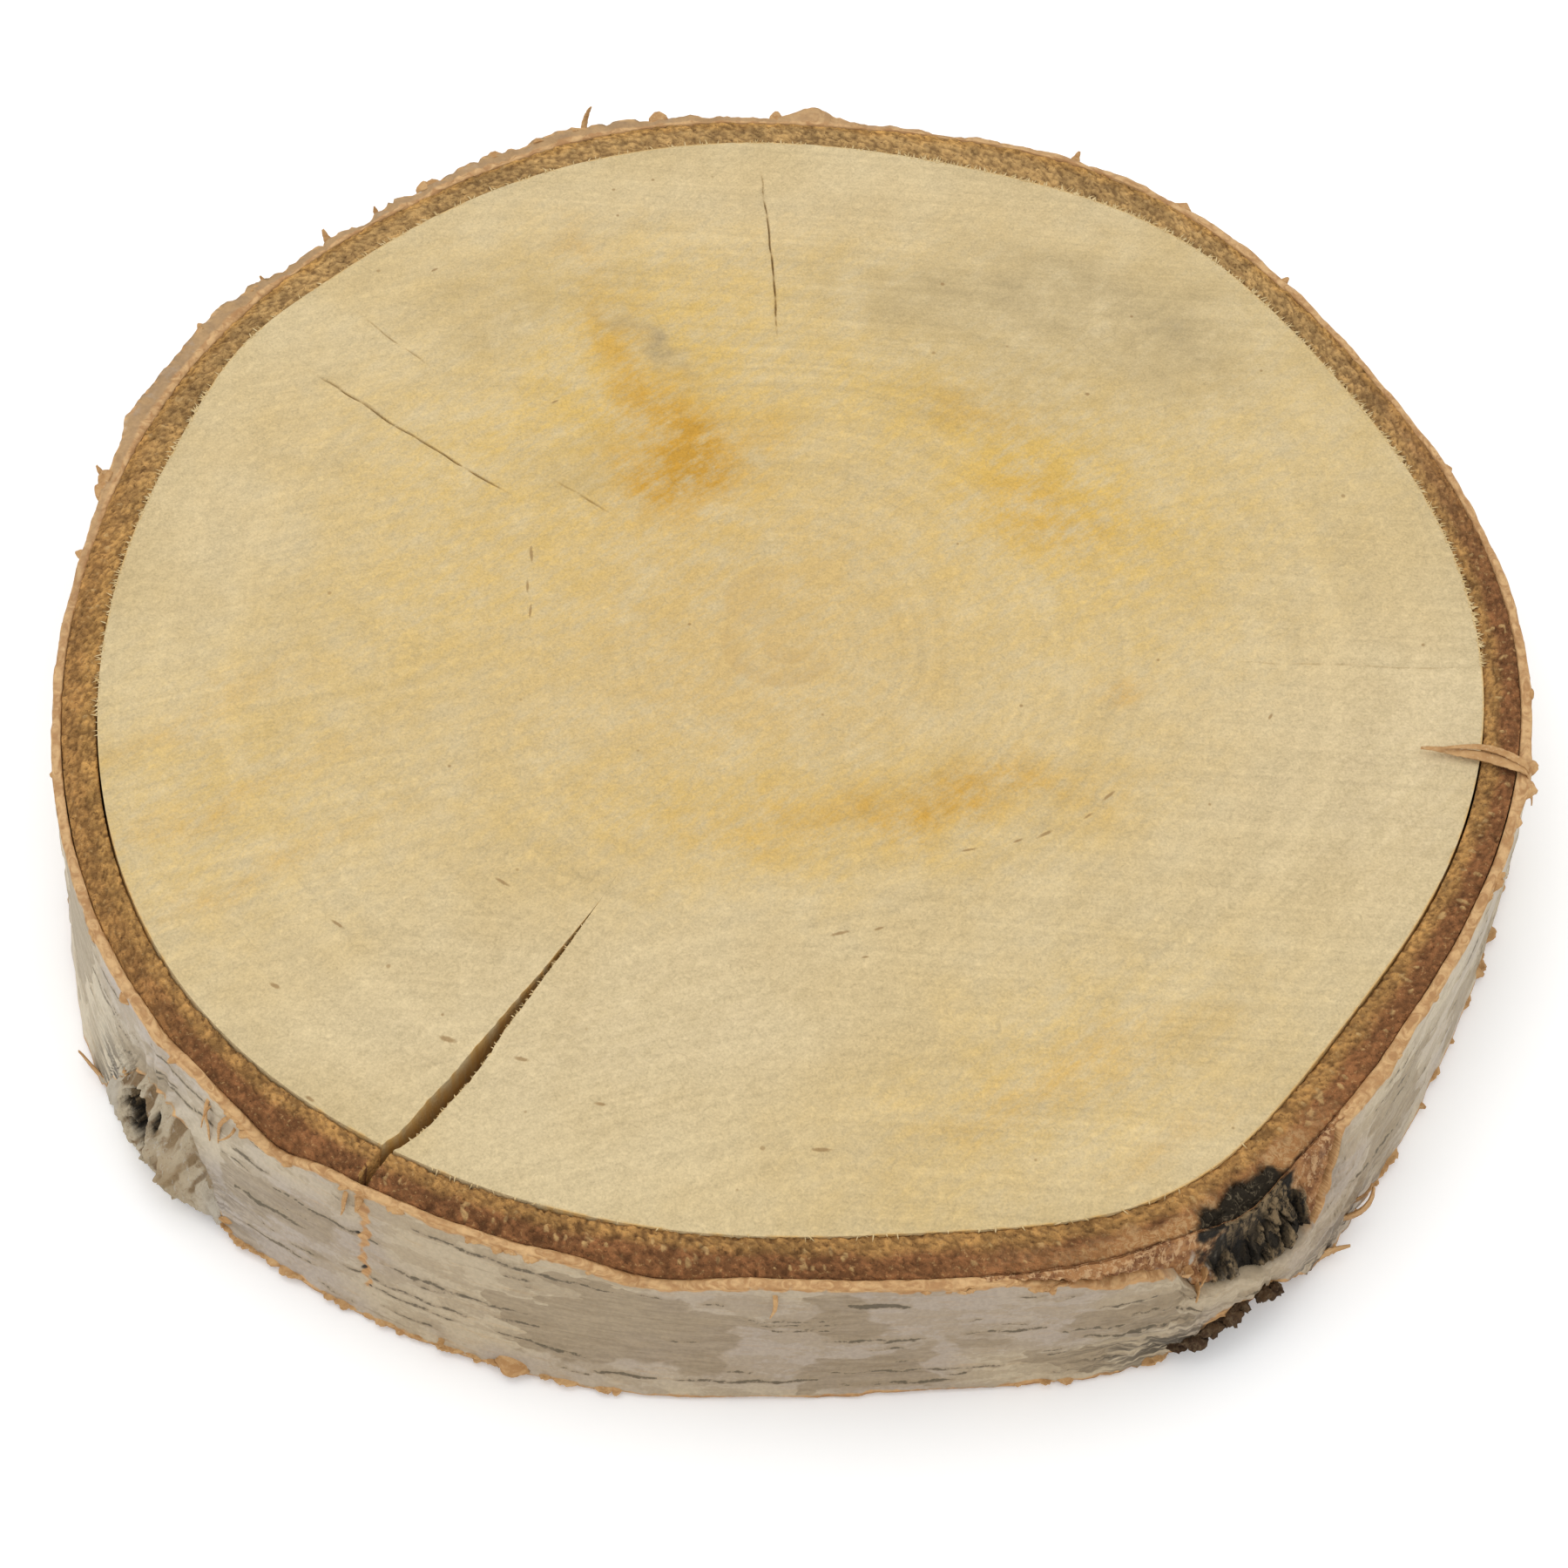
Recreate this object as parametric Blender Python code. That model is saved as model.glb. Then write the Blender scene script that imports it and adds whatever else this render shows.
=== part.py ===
"""A slice sawn across a birch trunk: pale wood, brown inner bark, papery white outer bark, two knots.

Lengths are in millimetres and angles in degrees until a mesh is made, and finished objects are in metres.
Angles run counterclockwise about the pith, seen from above, from +X. The front of the slice is at -90.
"""

from math import radians

import bmesh
import bpy
import numpy as np

MM = 0.001

# Driving sizes
THICKNESS = 32.0
WOOD_RADIUS = 126.4
BARK_RADIUS = 132.7
RIM_RADIUS = 135.0
SEAM = 0.3
PAPER_MIN = 1.0
PITH = (-2.86, -2.39)

# Swells of the trunk, each as middle angle, half width in degrees and height
WOOD_SWELLS = ((-143, 25, 3.3), (-60, 15, 8.7), (-6, 38, 6.5), (53, 17, 5.7), (103, 38, 7.1), (145, 9, 2.6))
BARK_SWELLS = ((-140, 30, 3.7), (-60, 19, 9.7), (-7, 36, 7.0), (61, 23, 8.5), (102, 19, 6.6), (137, 26, 4.4))
RIM_SWELLS = ((-140, 27, 3.4), (-59, 19, 10.3), (-8, 34, 6.7), (58, 20, 7.6), (106, 25, 8.5), (149, 16, 5.4))
FLARE_SWELLS = ((-143, 19, 7.6), (-107, 27, 7.3), (-52, 24, 5.2))
RIM_KNOBS = ((87, 1.8, 3.2), (143, 4, 1.8), (156, 3, 1.6), (-13, 2.5, 0.9), (108, 5, 1.0))
ROUGH_SWELLS = ((112, 42, 1.0), (-57, 14, 0.8))

# Sections of the layers
COLUMNS = 240
STEP = 360 / COLUMNS
KNOT_STEP = STEP / 2
KNOT_ROWS = 9
KNOT_CRUMBLE = 0.5
KNOT_THINNEST = 0.6
WALL_ROWS = 8
BARK_LIFT = 0.3
BARK_SUNK = 0.2
BARK_CRUMBLE = 0.2
BARK_SCAR = 0.6
BARK_CREST = 0.55
PAPER_RAGGED = 0.7
PAPER_LIFT = 0.5
WRINKLE = 0.35
LUMP = 0.9

# Where the paper is torn off the upper rim, as middle angle, half width and drop
TORN_RIM = ((-128.5, 3.5, 3.0), (-98.5, 4.0, 2.4), (172, 6, 1.2), (27, 5, 1.0))

# Drying split through wood and inner bark: distance from the pith, angle and width at each place
SPLIT = ((67, -118.0, 0.0), (88, -118.9, 1.3), (110, -119.6, 3.4), (124, -120.2, 2.6), (129, -121.2, 1.5),
         (141, -120.4, 1.3))

# Drying checks in the upper face, as distance and angle of both ends, widest at the outer end
CHECKS = (((125.0, 91.6), (77.6, 90.0)), ((114.9, 143.7), (63.2, 145.3)), ((58.0, 137.8), (46.3, 135.5)))
CHECK_WIDTH = 0.9
CHECK_DEPTH = 5.0
CHECK_FADE = 0.15
CUTTER_PAST = 2.0

# Front knot: the paper's upper border under it, as angles and heights, and its bark
FRONT_ANGLES = (-76, -68, -62, -60, -53, -50, -46)
FRONT_BORDER = (32.0, 28.0, 23.0, 11.0, 9.5, 20.0, 32.0)
FRONT_MIDDLE = -56.0
FRONT_REACH = 9.0
FRONT_SWELL = 1.2
FRONT_BELLY = 4.2
FRONT_BELLY_HEIGHT = 15.0
FRONT_BELLY_REACH = 14.0
FURROW_DEPTH = 1.6
FURROW_WIDTH = 3.1
FURROW_SLANT = 0.155

# Left knot: the arch that it fills in the paper's lower border, its lump and its hole
LEFT_ANGLES = (-147, -145.5, -141, -135, -132, -130.5)
LEFT_ARCH = (0.4, 9.0, 18.0, 18.5, 10.0, 0.4)
LEFT_MIDDLE = -138.0
LEFT_REACH = 6.0
LEFT_BULGE = 3.4
LEFT_BULGE_HEIGHT = 22.0
LEFT_FIBRE = 0.5
LEFT_HOLE = (-142.0, 7.0)
LEFT_HOLE_SIZE = (2.2, 4.5)
LEFT_HOLE_DEPTH = 4.5

# Lenticels on the white wall, as both end angles and both end heights, and their ridge
LENTICELS = (
    (-152, -144, 23.0, 22.0), (-151, -146, 28.0, 28.0), (-141.5, -134, 28.6, 28.0),
    (-141, -132.5, 23.6, 25.0), (-129, -118.5, 20.3, 20.4), (-131.5, -125, 14.0, 15.0),
    (-130, -124, 7.0, 7.0), (-122, -112, 11.3, 11.3), (-118.8, -107.5, 16.0, 16.0),
    (-116.5, -101.5, 28.4, 26.5), (-110, -103, 10.0, 8.2), (-119.7, -113, 9.0, 9.0),
    (-102.7, -98, 5.6, 5.6), (-97, -87, 5.7, 5.7), (-92, -85.5, 21.5, 21.6),
    (-86.5, -79.5, 17.0, 17.0), (-85, -80.5, 27.0, 27.0), (-86, -77, 7.5, 7.5),
    (-77, -71.3, 18.2, 18.2), (-70.3, -65.8, 16.2, 16.0), (-45.5, -38, 19.0, 19.6),
    (-47, -39, 14.0, 10.0), (-30, -24, 24.0, 24.0), (-18, -9, 15.5, 15.0),
    (-24, -15, 8.0, 8.6), (2, 12, 20.0, 20.4), (16, 23, 10.0, 10.0),
    (28, 39, 25.0, 24.6), (44, 52, 15.0, 15.0), (60, 72, 7.5, 8.0),
    (80, 89, 21.0, 21.0), (108, 120, 13.0, 13.4), (131, 139, 24.0, 24.0),
    (150, 161, 10.5, 10.0), (170, 179, 18.0, 18.0),
)
LENTICEL_RISE = 0.45
LENTICEL_HALF = 0.7
LENTICEL_ROOT = 0.6

# Peeled strips: angle, height of the root, width, length, start and end direction from outward
# towards upward, length over which it bends, and roll of its width out of the level
STRIPS = (
    ("strip_over_rim", -12.5, 31.2, 2.4, 21.0, 90, 177, 2.4, 0),
    ("hook_back", 107, 28.0, 3.4, 9.5, 0, 48, 8.0, 15),
    ("spike_back_left", 131, 29.0, 2.4, 5.0, 10, 45, 4.0, 0),
    ("spike_far_left", 162, 28.5, 2.8, 4.5, 20, 45, 4.0, 20),
    ("spike_back_right", 64, 29.0, 2.8, 4.5, 15, 45, 4.0, 0),
    ("splinter_left", -135, 29.5, 1.8, 11.0, -20, -86, 5.0, 10),
    ("splinter_split", -122, 30.0, 1.6, 6.5, -10, -80, 4.0, 0),
    ("splinter_front", -90, 29.6, 1.8, 6.0, 0, -85, 4.0, -10),
    ("flap_left", -148.8, 5.0, 6.5, 5.0, -5, 55, 4.5, 80),
    ("flap_front", -108.5, 3.2, 8.0, 3.6, -5, -32, 3.0, -8),
    ("flap_front_small", -114, 2.6, 4.0, 3.4, 0, 30, 3.0, 5),
    ("hook_right", -44.0, 4.6, 6.0, 5.0, 0, -35, 4.0, 50),
)
STRIP_THICKNESS = 0.8
STRIP_ROOT = 0.9
STRIP_RINGS = 7


def swell(angle, swells):
    """Sum of smooth bumps round the trunk, each exp(-(distance / half width) squared) times its height."""
    total = np.zeros_like(angle, dtype=float)
    for middle, width, height in swells:
        away = (angle - middle + 180) % 360 - 180
        total += height * np.exp(-((away / width) ** 2))
    return total


def ripple(angle, height, seed, turns, climb):
    """Noise that closes round the trunk: six sines of whole turns, tilted with the height, within -1 to 1."""
    draw = np.random.default_rng(seed)
    total = np.zeros(np.broadcast(angle, height).shape)
    for _ in range(6):
        rounds = draw.integers(turns[0], turns[1] + 1)
        tilt = draw.uniform(-climb, climb)
        total += np.sin(rounds * np.radians(angle) + tilt * height + draw.uniform(0, 2 * np.pi))
    return total / 6


def flare(angle, height):
    """Growth of the trunk from the upper face down to the lower one."""
    return swell(angle, FLARE_SWELLS) * (1 - height / THICKNESS)


def wood_radius(angle, height):
    return WOOD_RADIUS + swell(angle, WOOD_SWELLS) + flare(angle, height)


def bark_radius(angle, height):
    return BARK_RADIUS + swell(angle, BARK_SWELLS) + flare(angle, height)


def rim_radius(angle, height):
    """Outside of the papery bark: the trunk's outline with wrinkles, and lumps where the bark is rough."""
    smooth = RIM_RADIUS + swell(angle, RIM_SWELLS + RIM_KNOBS) + flare(angle, height)
    wrinkles = WRINKLE * ripple(angle, height, 3, (2, 9), 0.9)
    lumps = LUMP * swell(angle, ROUGH_SWELLS) * ripple(angle, height, 8, (20, 44), 0.25)
    thinnest = bark_radius(angle, height) + SEAM + PAPER_MIN
    return np.maximum(smooth + wrinkles + lumps, thinnest)


def paper_top(angle):
    """Ragged upper border of the paper, torn off in places and cut down round the front knot."""
    ragged = THICKNESS - PAPER_RAGGED * (1 + ripple(angle, 0, 11, (18, 60), 0))
    ragged = ragged - swell(angle, TORN_RIM)
    border = np.interp(angle, FRONT_ANGLES, FRONT_BORDER, left=THICKNESS, right=THICKNESS)
    return np.minimum(ragged, border)


def paper_bottom(angle):
    """Ragged lower border of the paper, arched over the left knot."""
    ragged = PAPER_LIFT * (1.4 + ripple(angle, 0, 12, (14, 50), 0))
    return np.maximum(ragged, np.interp(angle, LEFT_ANGLES, LEFT_ARCH, left=0, right=0))


def ring_angles():
    return -180 + STEP * np.arange(COLUMNS)


def between_columns(angle, border):
    """Height of a border of the paper at any angle, straight from column to column as its mesh is."""
    columns = ring_angles()
    return np.interp(angle, columns, border(columns))


def seam_beside(angle, border):
    """Upright clearance that leaves the seam's width square to a sloping border."""
    reach = STEP / 2
    rise = between_columns(angle + reach, border) - between_columns(angle - reach, border)
    run = np.radians(2 * reach) * RIM_RADIUS
    return SEAM * np.hypot(1, rise / run)


def place(angle, radius, height):
    """Points in millimetres from an angle about the pith, a distance from it and a height."""
    turn = np.radians(angle)
    points = np.broadcast_arrays(PITH[0] + radius * np.cos(turn), PITH[1] + radius * np.sin(turn), height)
    return np.stack(points, axis=-1)


def finish(name, bm, material):
    """Turn a bmesh in metres into a smooth shaded object with sharp sawn edges."""
    bmesh.ops.recalc_face_normals(bm, faces=bm.faces)
    mesh = bpy.data.meshes.new(name)
    bm.to_mesh(mesh)
    bm.free()
    mesh.shade_smooth()
    mesh.set_sharp_from_angle(angle=radians(35))
    piece = bpy.data.objects.new(name, mesh)
    bpy.context.scene.collection.objects.link(piece)
    if material:
        mesh.materials.append(material)
    return piece


def skin(name, rings, closed, material=None):
    """Skin a run of equal closed sections. The run meets itself, or is capped at both ends."""
    bm = bmesh.new()
    loops = [[bm.verts.new(point) for point in ring] for ring in rings * MM]
    following = loops[1:] + loops[:1] if closed else loops[1:]
    for here, there in zip(loops, following):
        for low in range(len(here)):
            high = (low + 1) % len(here)
            bm.faces.new((here[low], there[low], there[high], here[high]))
    if not closed:
        bm.faces.new(loops[0])
        bm.faces.new(loops[-1])
    return finish(name, bm, material)


def sections(*columns):
    """Stack one array of points per corner of the section into a run of closed sections."""
    return np.stack(columns, axis=1)


def apply_modifiers(piece):
    depsgraph = bpy.context.evaluated_depsgraph_get()
    mesh = bpy.data.meshes.new_from_object(piece.evaluated_get(depsgraph))
    piece.modifiers.clear()
    piece.data = mesh


def boolean(piece, other, operation):
    change = piece.modifiers.new(operation.lower(), "BOOLEAN")
    change.operation = operation
    change.solver = "EXACT"
    if isinstance(other, bpy.types.Collection):
        change.operand_type = "COLLECTION"
        change.collection = other
    else:
        change.object = other


def hide_cutter(cutter):
    cutter.hide_render = True
    cutter.display_type = "WIRE"


def split_cutter():
    """The wedge of air in the drying split, right through the slice, with its point towards the pith."""
    away, turn, width = (np.array(values, dtype=float) for values in zip(*SPLIT))
    half = np.degrees(width / 2 / away)
    outline = [place(t - h, r, 0.0) for r, t, h in zip(away, turn, half)]
    outline += [place(t + h, r, 0.0) for r, t, h in zip(away[:0:-1], turn[:0:-1], half[:0:-1])]
    outline = np.array(outline)
    heights = np.array([[0, 0, -CUTTER_PAST], [0, 0, THICKNESS + CUTTER_PAST]])
    cutter = skin("split_cutter", outline[None] + heights[:, None], closed=False)
    hide_cutter(cutter)
    return cutter


def check_cutter(number, outer, inner):
    """A drying check: a thin V groove that is widest and deepest at its outer end."""
    rings = []
    for (away, turn), share in ((outer, 1.0), (inner, CHECK_FADE)):
        half = np.degrees(CHECK_WIDTH * share / away)
        rings.append([
            place(turn - half, away, THICKNESS + CHECK_DEPTH * share),
            place(turn + half, away, THICKNESS + CHECK_DEPTH * share),
            place(turn, away, THICKNESS - CHECK_DEPTH * share),
        ])
    cutter = skin(f"check_cutter_{number}", np.array(rings), closed=False)
    hide_cutter(cutter)
    return cutter


def make_wood(material, split):
    """The sawn disc, flat on both faces, with the drying split and the checks cut in."""
    angle = ring_angles()
    lower = place(angle, wood_radius(angle, 0.0), 0.0)
    upper = place(angle, wood_radius(angle, THICKNESS), THICKNESS)
    wood = skin("wood", np.stack([lower, upper]), closed=False, material=material)
    boolean(wood, split, "DIFFERENCE")
    for number, (outer, inner) in enumerate(CHECKS):
        boolean(wood, check_cutter(number, outer, inner), "DIFFERENCE")
    return wood


def make_inner_bark(material, split):
    """The crumbly brown ring: a low crest in the middle of its upper edge, and the split cut through."""
    angle = ring_angles()
    low = BARK_LIFT * (2 + ripple(angle, 0, 21, (15, 50), 0))
    top = THICKNESS - BARK_SUNK - BARK_CRUMBLE * (1 + ripple(angle, 0, 22, (25, 70), 0))
    scar = THICKNESS - 2 * BARK_SUNK - BARK_SCAR * (1 + ripple(angle, 0, 23, (30, 75), 0))
    middle = wood_radius(angle, top) * (1 - BARK_CREST) + bark_radius(angle, top) * BARK_CREST
    ring = sections(
        place(angle, wood_radius(angle, low) + SEAM, low),
        place(angle, bark_radius(angle, low), low),
        place(angle, bark_radius(angle, scar), scar),
        place(angle, middle, top),
        place(angle, wood_radius(angle, scar) + SEAM, scar),
    )
    bark = skin("inner_bark", ring, closed=True, material=material)
    boolean(bark, split, "DIFFERENCE")
    return bark


def wall_section(angle, low, high, inner, outer, rows):
    """Corners of an upright wall between two borders: outside from low to high, inside straight back."""
    corners = []
    for row in range(rows + 1):
        height = low + (high - low) * row / rows
        corners.append(place(angle, outer(angle, height), height))
    corners.append(place(angle, inner(angle, high), high))
    corners.append(place(angle, inner(angle, low), low))
    return sections(*corners)


def bark_seat(angle, height):
    """Inside of everything that lies on the inner bark."""
    return bark_radius(angle, height) + SEAM


def make_lenticel(number, start, end, low, high):
    """A corky ridge along the wall, with its root sunk in, that rises and falls as a half sine."""
    share = np.linspace(0.06, 0.94, 5)
    angle = start + (end - start) * share
    height = low + (high - low) * share
    swelling = np.sin(np.pi * share)
    half = LENTICEL_HALF * swelling
    wall = rim_radius(angle, height)
    rings = sections(
        place(angle, wall - LENTICEL_ROOT, height - half),
        place(angle, wall + LENTICEL_RISE * swelling, height - half / 3),
        place(angle, wall + LENTICEL_RISE * swelling, height + half / 3),
        place(angle, wall - LENTICEL_ROOT, height + half),
    )
    return skin(f"lenticel_{number}", rings, closed=False)


def make_outer_bark(material):
    """The papery white wall with its ragged borders, and its lenticels and peeled strips fused on."""
    angle = ring_angles()
    wall = wall_section(angle, paper_bottom(angle), paper_top(angle), bark_seat, rim_radius, WALL_ROWS)
    paper = skin("outer_bark", wall, closed=True, material=material)
    repeats = [make_strip(name, *shape) for name, *shape in STRIPS]
    repeats += [make_lenticel(number, *shape) for number, shape in enumerate(LENTICELS)]
    fuse(paper, repeats)
    return paper


def fuse(piece, repeats):
    """Join small repeats to what they grow from, in one union, and remove them."""
    together = bpy.data.collections.new("repeats")
    bpy.context.scene.collection.children.link(together)
    for repeat in repeats:
        bpy.context.scene.collection.objects.unlink(repeat)
        together.objects.link(repeat)
    boolean(piece, together, "UNION")
    apply_modifiers(piece)
    for repeat in repeats:
        bpy.data.objects.remove(repeat)
    bpy.data.collections.remove(together)


def make_strip(name, angle, height, width, length, start, end, bend, roll):
    """A peeled strip that bends smoothly from its start to its end direction and narrows to its tip."""
    turn, tilt = np.radians(angle), np.radians(roll)
    outward = np.array([np.cos(turn), np.sin(turn), 0.0])
    along = np.array([-np.sin(turn), np.cos(turn), 0.0])
    upward = np.array([0.0, 0.0, 1.0])
    across = along * np.cos(tilt) + upward * np.sin(tilt)
    rising = upward * np.cos(tilt) - along * np.sin(tilt)

    travel = np.concatenate([np.linspace(0, bend, STRIP_RINGS), [length]])
    share = np.clip(travel / bend, 0, 1)
    lean = np.radians(start + (end - start) * share)
    ahead = outward * np.cos(lean)[:, None] + rising * np.sin(lean)[:, None]
    steps = np.diff(travel)[:, None] * (ahead[1:] + ahead[:-1]) / 2
    middle = np.vstack([np.zeros(3), np.cumsum(steps, axis=0)])

    root = place(angle, rim_radius(np.array(float(angle)), height) - STRIP_ROOT, height)
    half = width / 2 * (1 - 0.75 * (travel / length) ** 2)
    thick = STRIP_THICKNESS / 2 * (1 - 0.2 * travel / length)
    face = np.cross(across, ahead)
    side = across * half[:, None]
    lift = face * thick[:, None]
    middle = middle + root
    rings = sections(middle - side - lift, middle + side - lift, middle + side + lift, middle - side + lift)
    return skin(name, rings, closed=False)


def front_outside(angle, height):
    """Bulging black bark of the front knot, with upright furrows that fade towards its ends."""
    fade = np.exp(-(((angle - FRONT_MIDDLE) / FRONT_REACH) ** 2))
    belly = FRONT_BELLY * np.exp(-(((height - FRONT_BELLY_HEIGHT) / FRONT_BELLY_REACH) ** 2))
    across = np.pi * (angle + FURROW_SLANT * height) / FURROW_WIDTH
    furrow = FURROW_DEPTH * (np.abs(np.sin(across)) - 0.4 + 0.4 * ripple(angle, height, 31, (40, 90), 0.8))
    bulge = fade * (FRONT_SWELL + belly + furrow)
    return np.maximum(rim_radius(angle, height) + bulge, bark_seat(angle, height) + PAPER_MIN)


def make_knot_bark_front(material):
    """The bark of the branch stub at the lower right, standing on the paper's border."""
    angle = np.arange(FRONT_ANGLES[0] + 2.5, FRONT_ANGLES[-1] - 0.5, KNOT_STEP)
    low = between_columns(angle, paper_top) + seam_beside(angle, paper_top)
    crumble = KNOT_CRUMBLE * (1 + ripple(angle, 0, 32, (60, 120), 0))
    high = np.maximum(THICKNESS - SEAM - crumble, low + KNOT_THINNEST)
    wall = wall_section(angle, low, high, bark_seat, front_outside, KNOT_ROWS)
    return skin("knot_bark_front", wall, closed=False, material=material)


def left_outside(angle, height):
    """Fibrous lump of the left knot, with the hole of the lost branch sunk in."""
    fade = np.exp(-(((angle - LEFT_MIDDLE) / LEFT_REACH) ** 2))
    fibres = LEFT_FIBRE * ripple(angle, height, 41, (60, 130), 0.5)
    lump = LEFT_BULGE * np.sin(np.pi * np.clip(height / LEFT_BULGE_HEIGHT, 0, 1))
    bulge = fade * (lump + fibres)
    sideways = (angle - LEFT_HOLE[0]) / LEFT_HOLE_SIZE[0]
    upright = (height - LEFT_HOLE[1]) / LEFT_HOLE_SIZE[1]
    hole = LEFT_HOLE_DEPTH * np.exp(-((sideways**2 + upright**2) ** 2))
    return np.maximum(rim_radius(angle, height) + bulge - hole, bark_seat(angle, height) + PAPER_MIN)


def make_knot_bark_left(material):
    """The lump under the arch in the paper's lower border, low on the left of the wall."""
    angle = np.arange(LEFT_ANGLES[0] + 0.75, LEFT_ANGLES[-1] - 0.4, KNOT_STEP)
    high = between_columns(angle, paper_bottom) - seam_beside(angle, paper_bottom)
    low = BARK_LIFT * (2.5 + ripple(angle, 0, 42, (60, 120), 0))
    high = np.maximum(high, low + KNOT_THINNEST)
    wall = wall_section(angle, low, high, bark_seat, left_outside, KNOT_ROWS)
    return skin("knot_bark_left", wall, closed=False, material=material)


def make_material(name, colour, roughness):
    material = bpy.data.materials.new(name)
    material.use_nodes = True
    shader = material.node_tree.nodes["Principled BSDF"]
    shader.inputs["Base Color"].default_value = (*colour, 1.0)
    shader.inputs["Roughness"].default_value = roughness
    shader.inputs["Metallic"].default_value = 0.0
    return material


def make_slice():
    for old in list(bpy.data.objects):
        bpy.data.objects.remove(old)
    split = split_cutter()
    make_wood(make_material("sawn_wood", (0.72, 0.56, 0.32), 0.75), split)
    make_inner_bark(make_material("inner_bark", (0.24, 0.13, 0.07), 0.9), split)
    make_outer_bark(make_material("papery_bark", (0.52, 0.48, 0.42), 0.65))
    make_knot_bark_front(make_material("black_bark", (0.05, 0.035, 0.03), 0.9))
    make_knot_bark_left(make_material("knot_fibre", (0.2, 0.15, 0.11), 0.9))


make_slice()
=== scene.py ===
# Birch wood slice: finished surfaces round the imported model, in millimetres until a mesh is made
from math import radians

import bmesh
import bpy
import numpy as np
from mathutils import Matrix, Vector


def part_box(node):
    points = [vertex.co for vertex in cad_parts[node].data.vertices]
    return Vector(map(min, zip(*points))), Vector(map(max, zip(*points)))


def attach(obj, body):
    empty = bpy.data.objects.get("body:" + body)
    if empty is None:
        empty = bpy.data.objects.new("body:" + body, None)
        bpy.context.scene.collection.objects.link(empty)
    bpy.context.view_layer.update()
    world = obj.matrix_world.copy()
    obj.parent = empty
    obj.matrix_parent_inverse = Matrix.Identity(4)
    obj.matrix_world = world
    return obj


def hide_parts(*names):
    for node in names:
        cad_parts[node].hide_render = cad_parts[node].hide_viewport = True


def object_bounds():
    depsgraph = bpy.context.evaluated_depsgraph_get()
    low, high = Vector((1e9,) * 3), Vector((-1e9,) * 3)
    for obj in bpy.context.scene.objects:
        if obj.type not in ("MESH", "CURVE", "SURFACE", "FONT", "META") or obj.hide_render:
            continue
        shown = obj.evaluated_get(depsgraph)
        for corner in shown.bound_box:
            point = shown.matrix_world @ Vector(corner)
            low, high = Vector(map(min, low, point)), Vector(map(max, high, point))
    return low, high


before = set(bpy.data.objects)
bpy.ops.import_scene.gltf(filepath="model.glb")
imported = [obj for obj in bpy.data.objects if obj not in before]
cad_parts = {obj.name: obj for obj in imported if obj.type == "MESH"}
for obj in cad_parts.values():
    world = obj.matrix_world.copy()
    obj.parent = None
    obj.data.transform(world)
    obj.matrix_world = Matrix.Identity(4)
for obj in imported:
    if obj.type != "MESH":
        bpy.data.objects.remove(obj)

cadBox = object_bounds()
mm = 0.001
scene = bpy.context.scene

# the trunk's outline, each swell as middle angle, half width in degrees and height
trunk = {
    "woodRadius": 126.4,
    "woodSwells": ((-143, 25, 3.3), (-60, 15, 8.7), (-6, 38, 6.5), (53, 17, 5.7), (103, 38, 7.1),
                   (145, 9, 2.6)),
    "barkRadius": 132.7,
    "barkSwells": ((-140, 30, 3.7), (-60, 19, 9.7), (-7, 36, 7.0), (61, 23, 8.5), (102, 19, 6.6),
                   (137, 26, 4.4)),
    "rimRadius": 135.0,
    "rimSwells": ((-140, 27, 3.4), (-59, 19, 10.3), (-8, 34, 6.7), (58, 20, 7.6), (106, 25, 8.5),
                  (149, 16, 5.4), (87, 1.8, 3.2), (143, 4, 1.8), (156, 3, 1.6), (-13, 2.5, 0.9),
                  (108, 5, 1.0)),
    "flareSwells": ((-143, 19, 7.6), (-107, 27, 7.3), (-52, 24, 5.2)),
    "roughSwells": ((112, 42, 1.0), (-57, 14, 0.8)),
    "thickness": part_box("wood")[1][2] / mm,
}


def turnFrom(angle, middle):
    # the shorter way round from the middle angle, -180 to 180 degrees
    return (angle - middle + 180) % 360 - 180


def arc(angle, radius):
    # length along a circle: angle in radians times the radius
    return angle * np.radians(1) * radius


def swell(angle, swells):
    # sum of height * exp(-(distance from the middle angle / half width) squared)
    total = np.zeros(np.shape(angle))
    for middle, width, height in swells:
        total = total + height * np.exp(-((turnFrom(angle, middle) / width) ** 2))
    return total


def ripple(angle, height, seed, turns, climb):
    # six sines of whole turns round the trunk, tilted with the height, averaged
    draw = np.random.default_rng(seed)
    total = np.zeros(np.broadcast(angle, height).shape)
    for _ in range(6):
        rounds = draw.integers(turns[0], turns[1] + 1)
        tilt = draw.uniform(-climb, climb)
        total = total + np.sin(rounds * np.radians(angle) + tilt * height + draw.uniform(0, 2 * np.pi))
    return total / 6


def flare(angle, height):
    # the trunk is wider at its lower face: swell times the share of the way down
    return swell(angle, trunk["flareSwells"]) * (1 - height / trunk["thickness"])


def outline(part, angle, height):
    # mean radius plus swells plus flare, for wood, bark or rim
    return trunk[part + "Radius"] + swell(angle, trunk[part + "Swells"]) + flare(angle, height)


def woodRadius(angle, height):
    # the wood's outline
    return outline("wood", angle, height)


def barkRadius(angle, height):
    # the inner bark's outline
    return outline("bark", angle, height)


def rimRadius(angle, height):
    # outline plus shallow wrinkles, plus lumps where the bark is rough, never thinner than the paper
    smooth = outline("rim", angle, height)
    wrinkles = 0.35 * ripple(angle, height, 3, (2, 9), 0.9)
    lumps = 0.9 * swell(angle, trunk["roughSwells"]) * ripple(angle, height, 8, (20, 44), 0.25)
    return np.maximum(smooth + wrinkles + lumps, barkRadius(angle, height) + 1.3)


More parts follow.
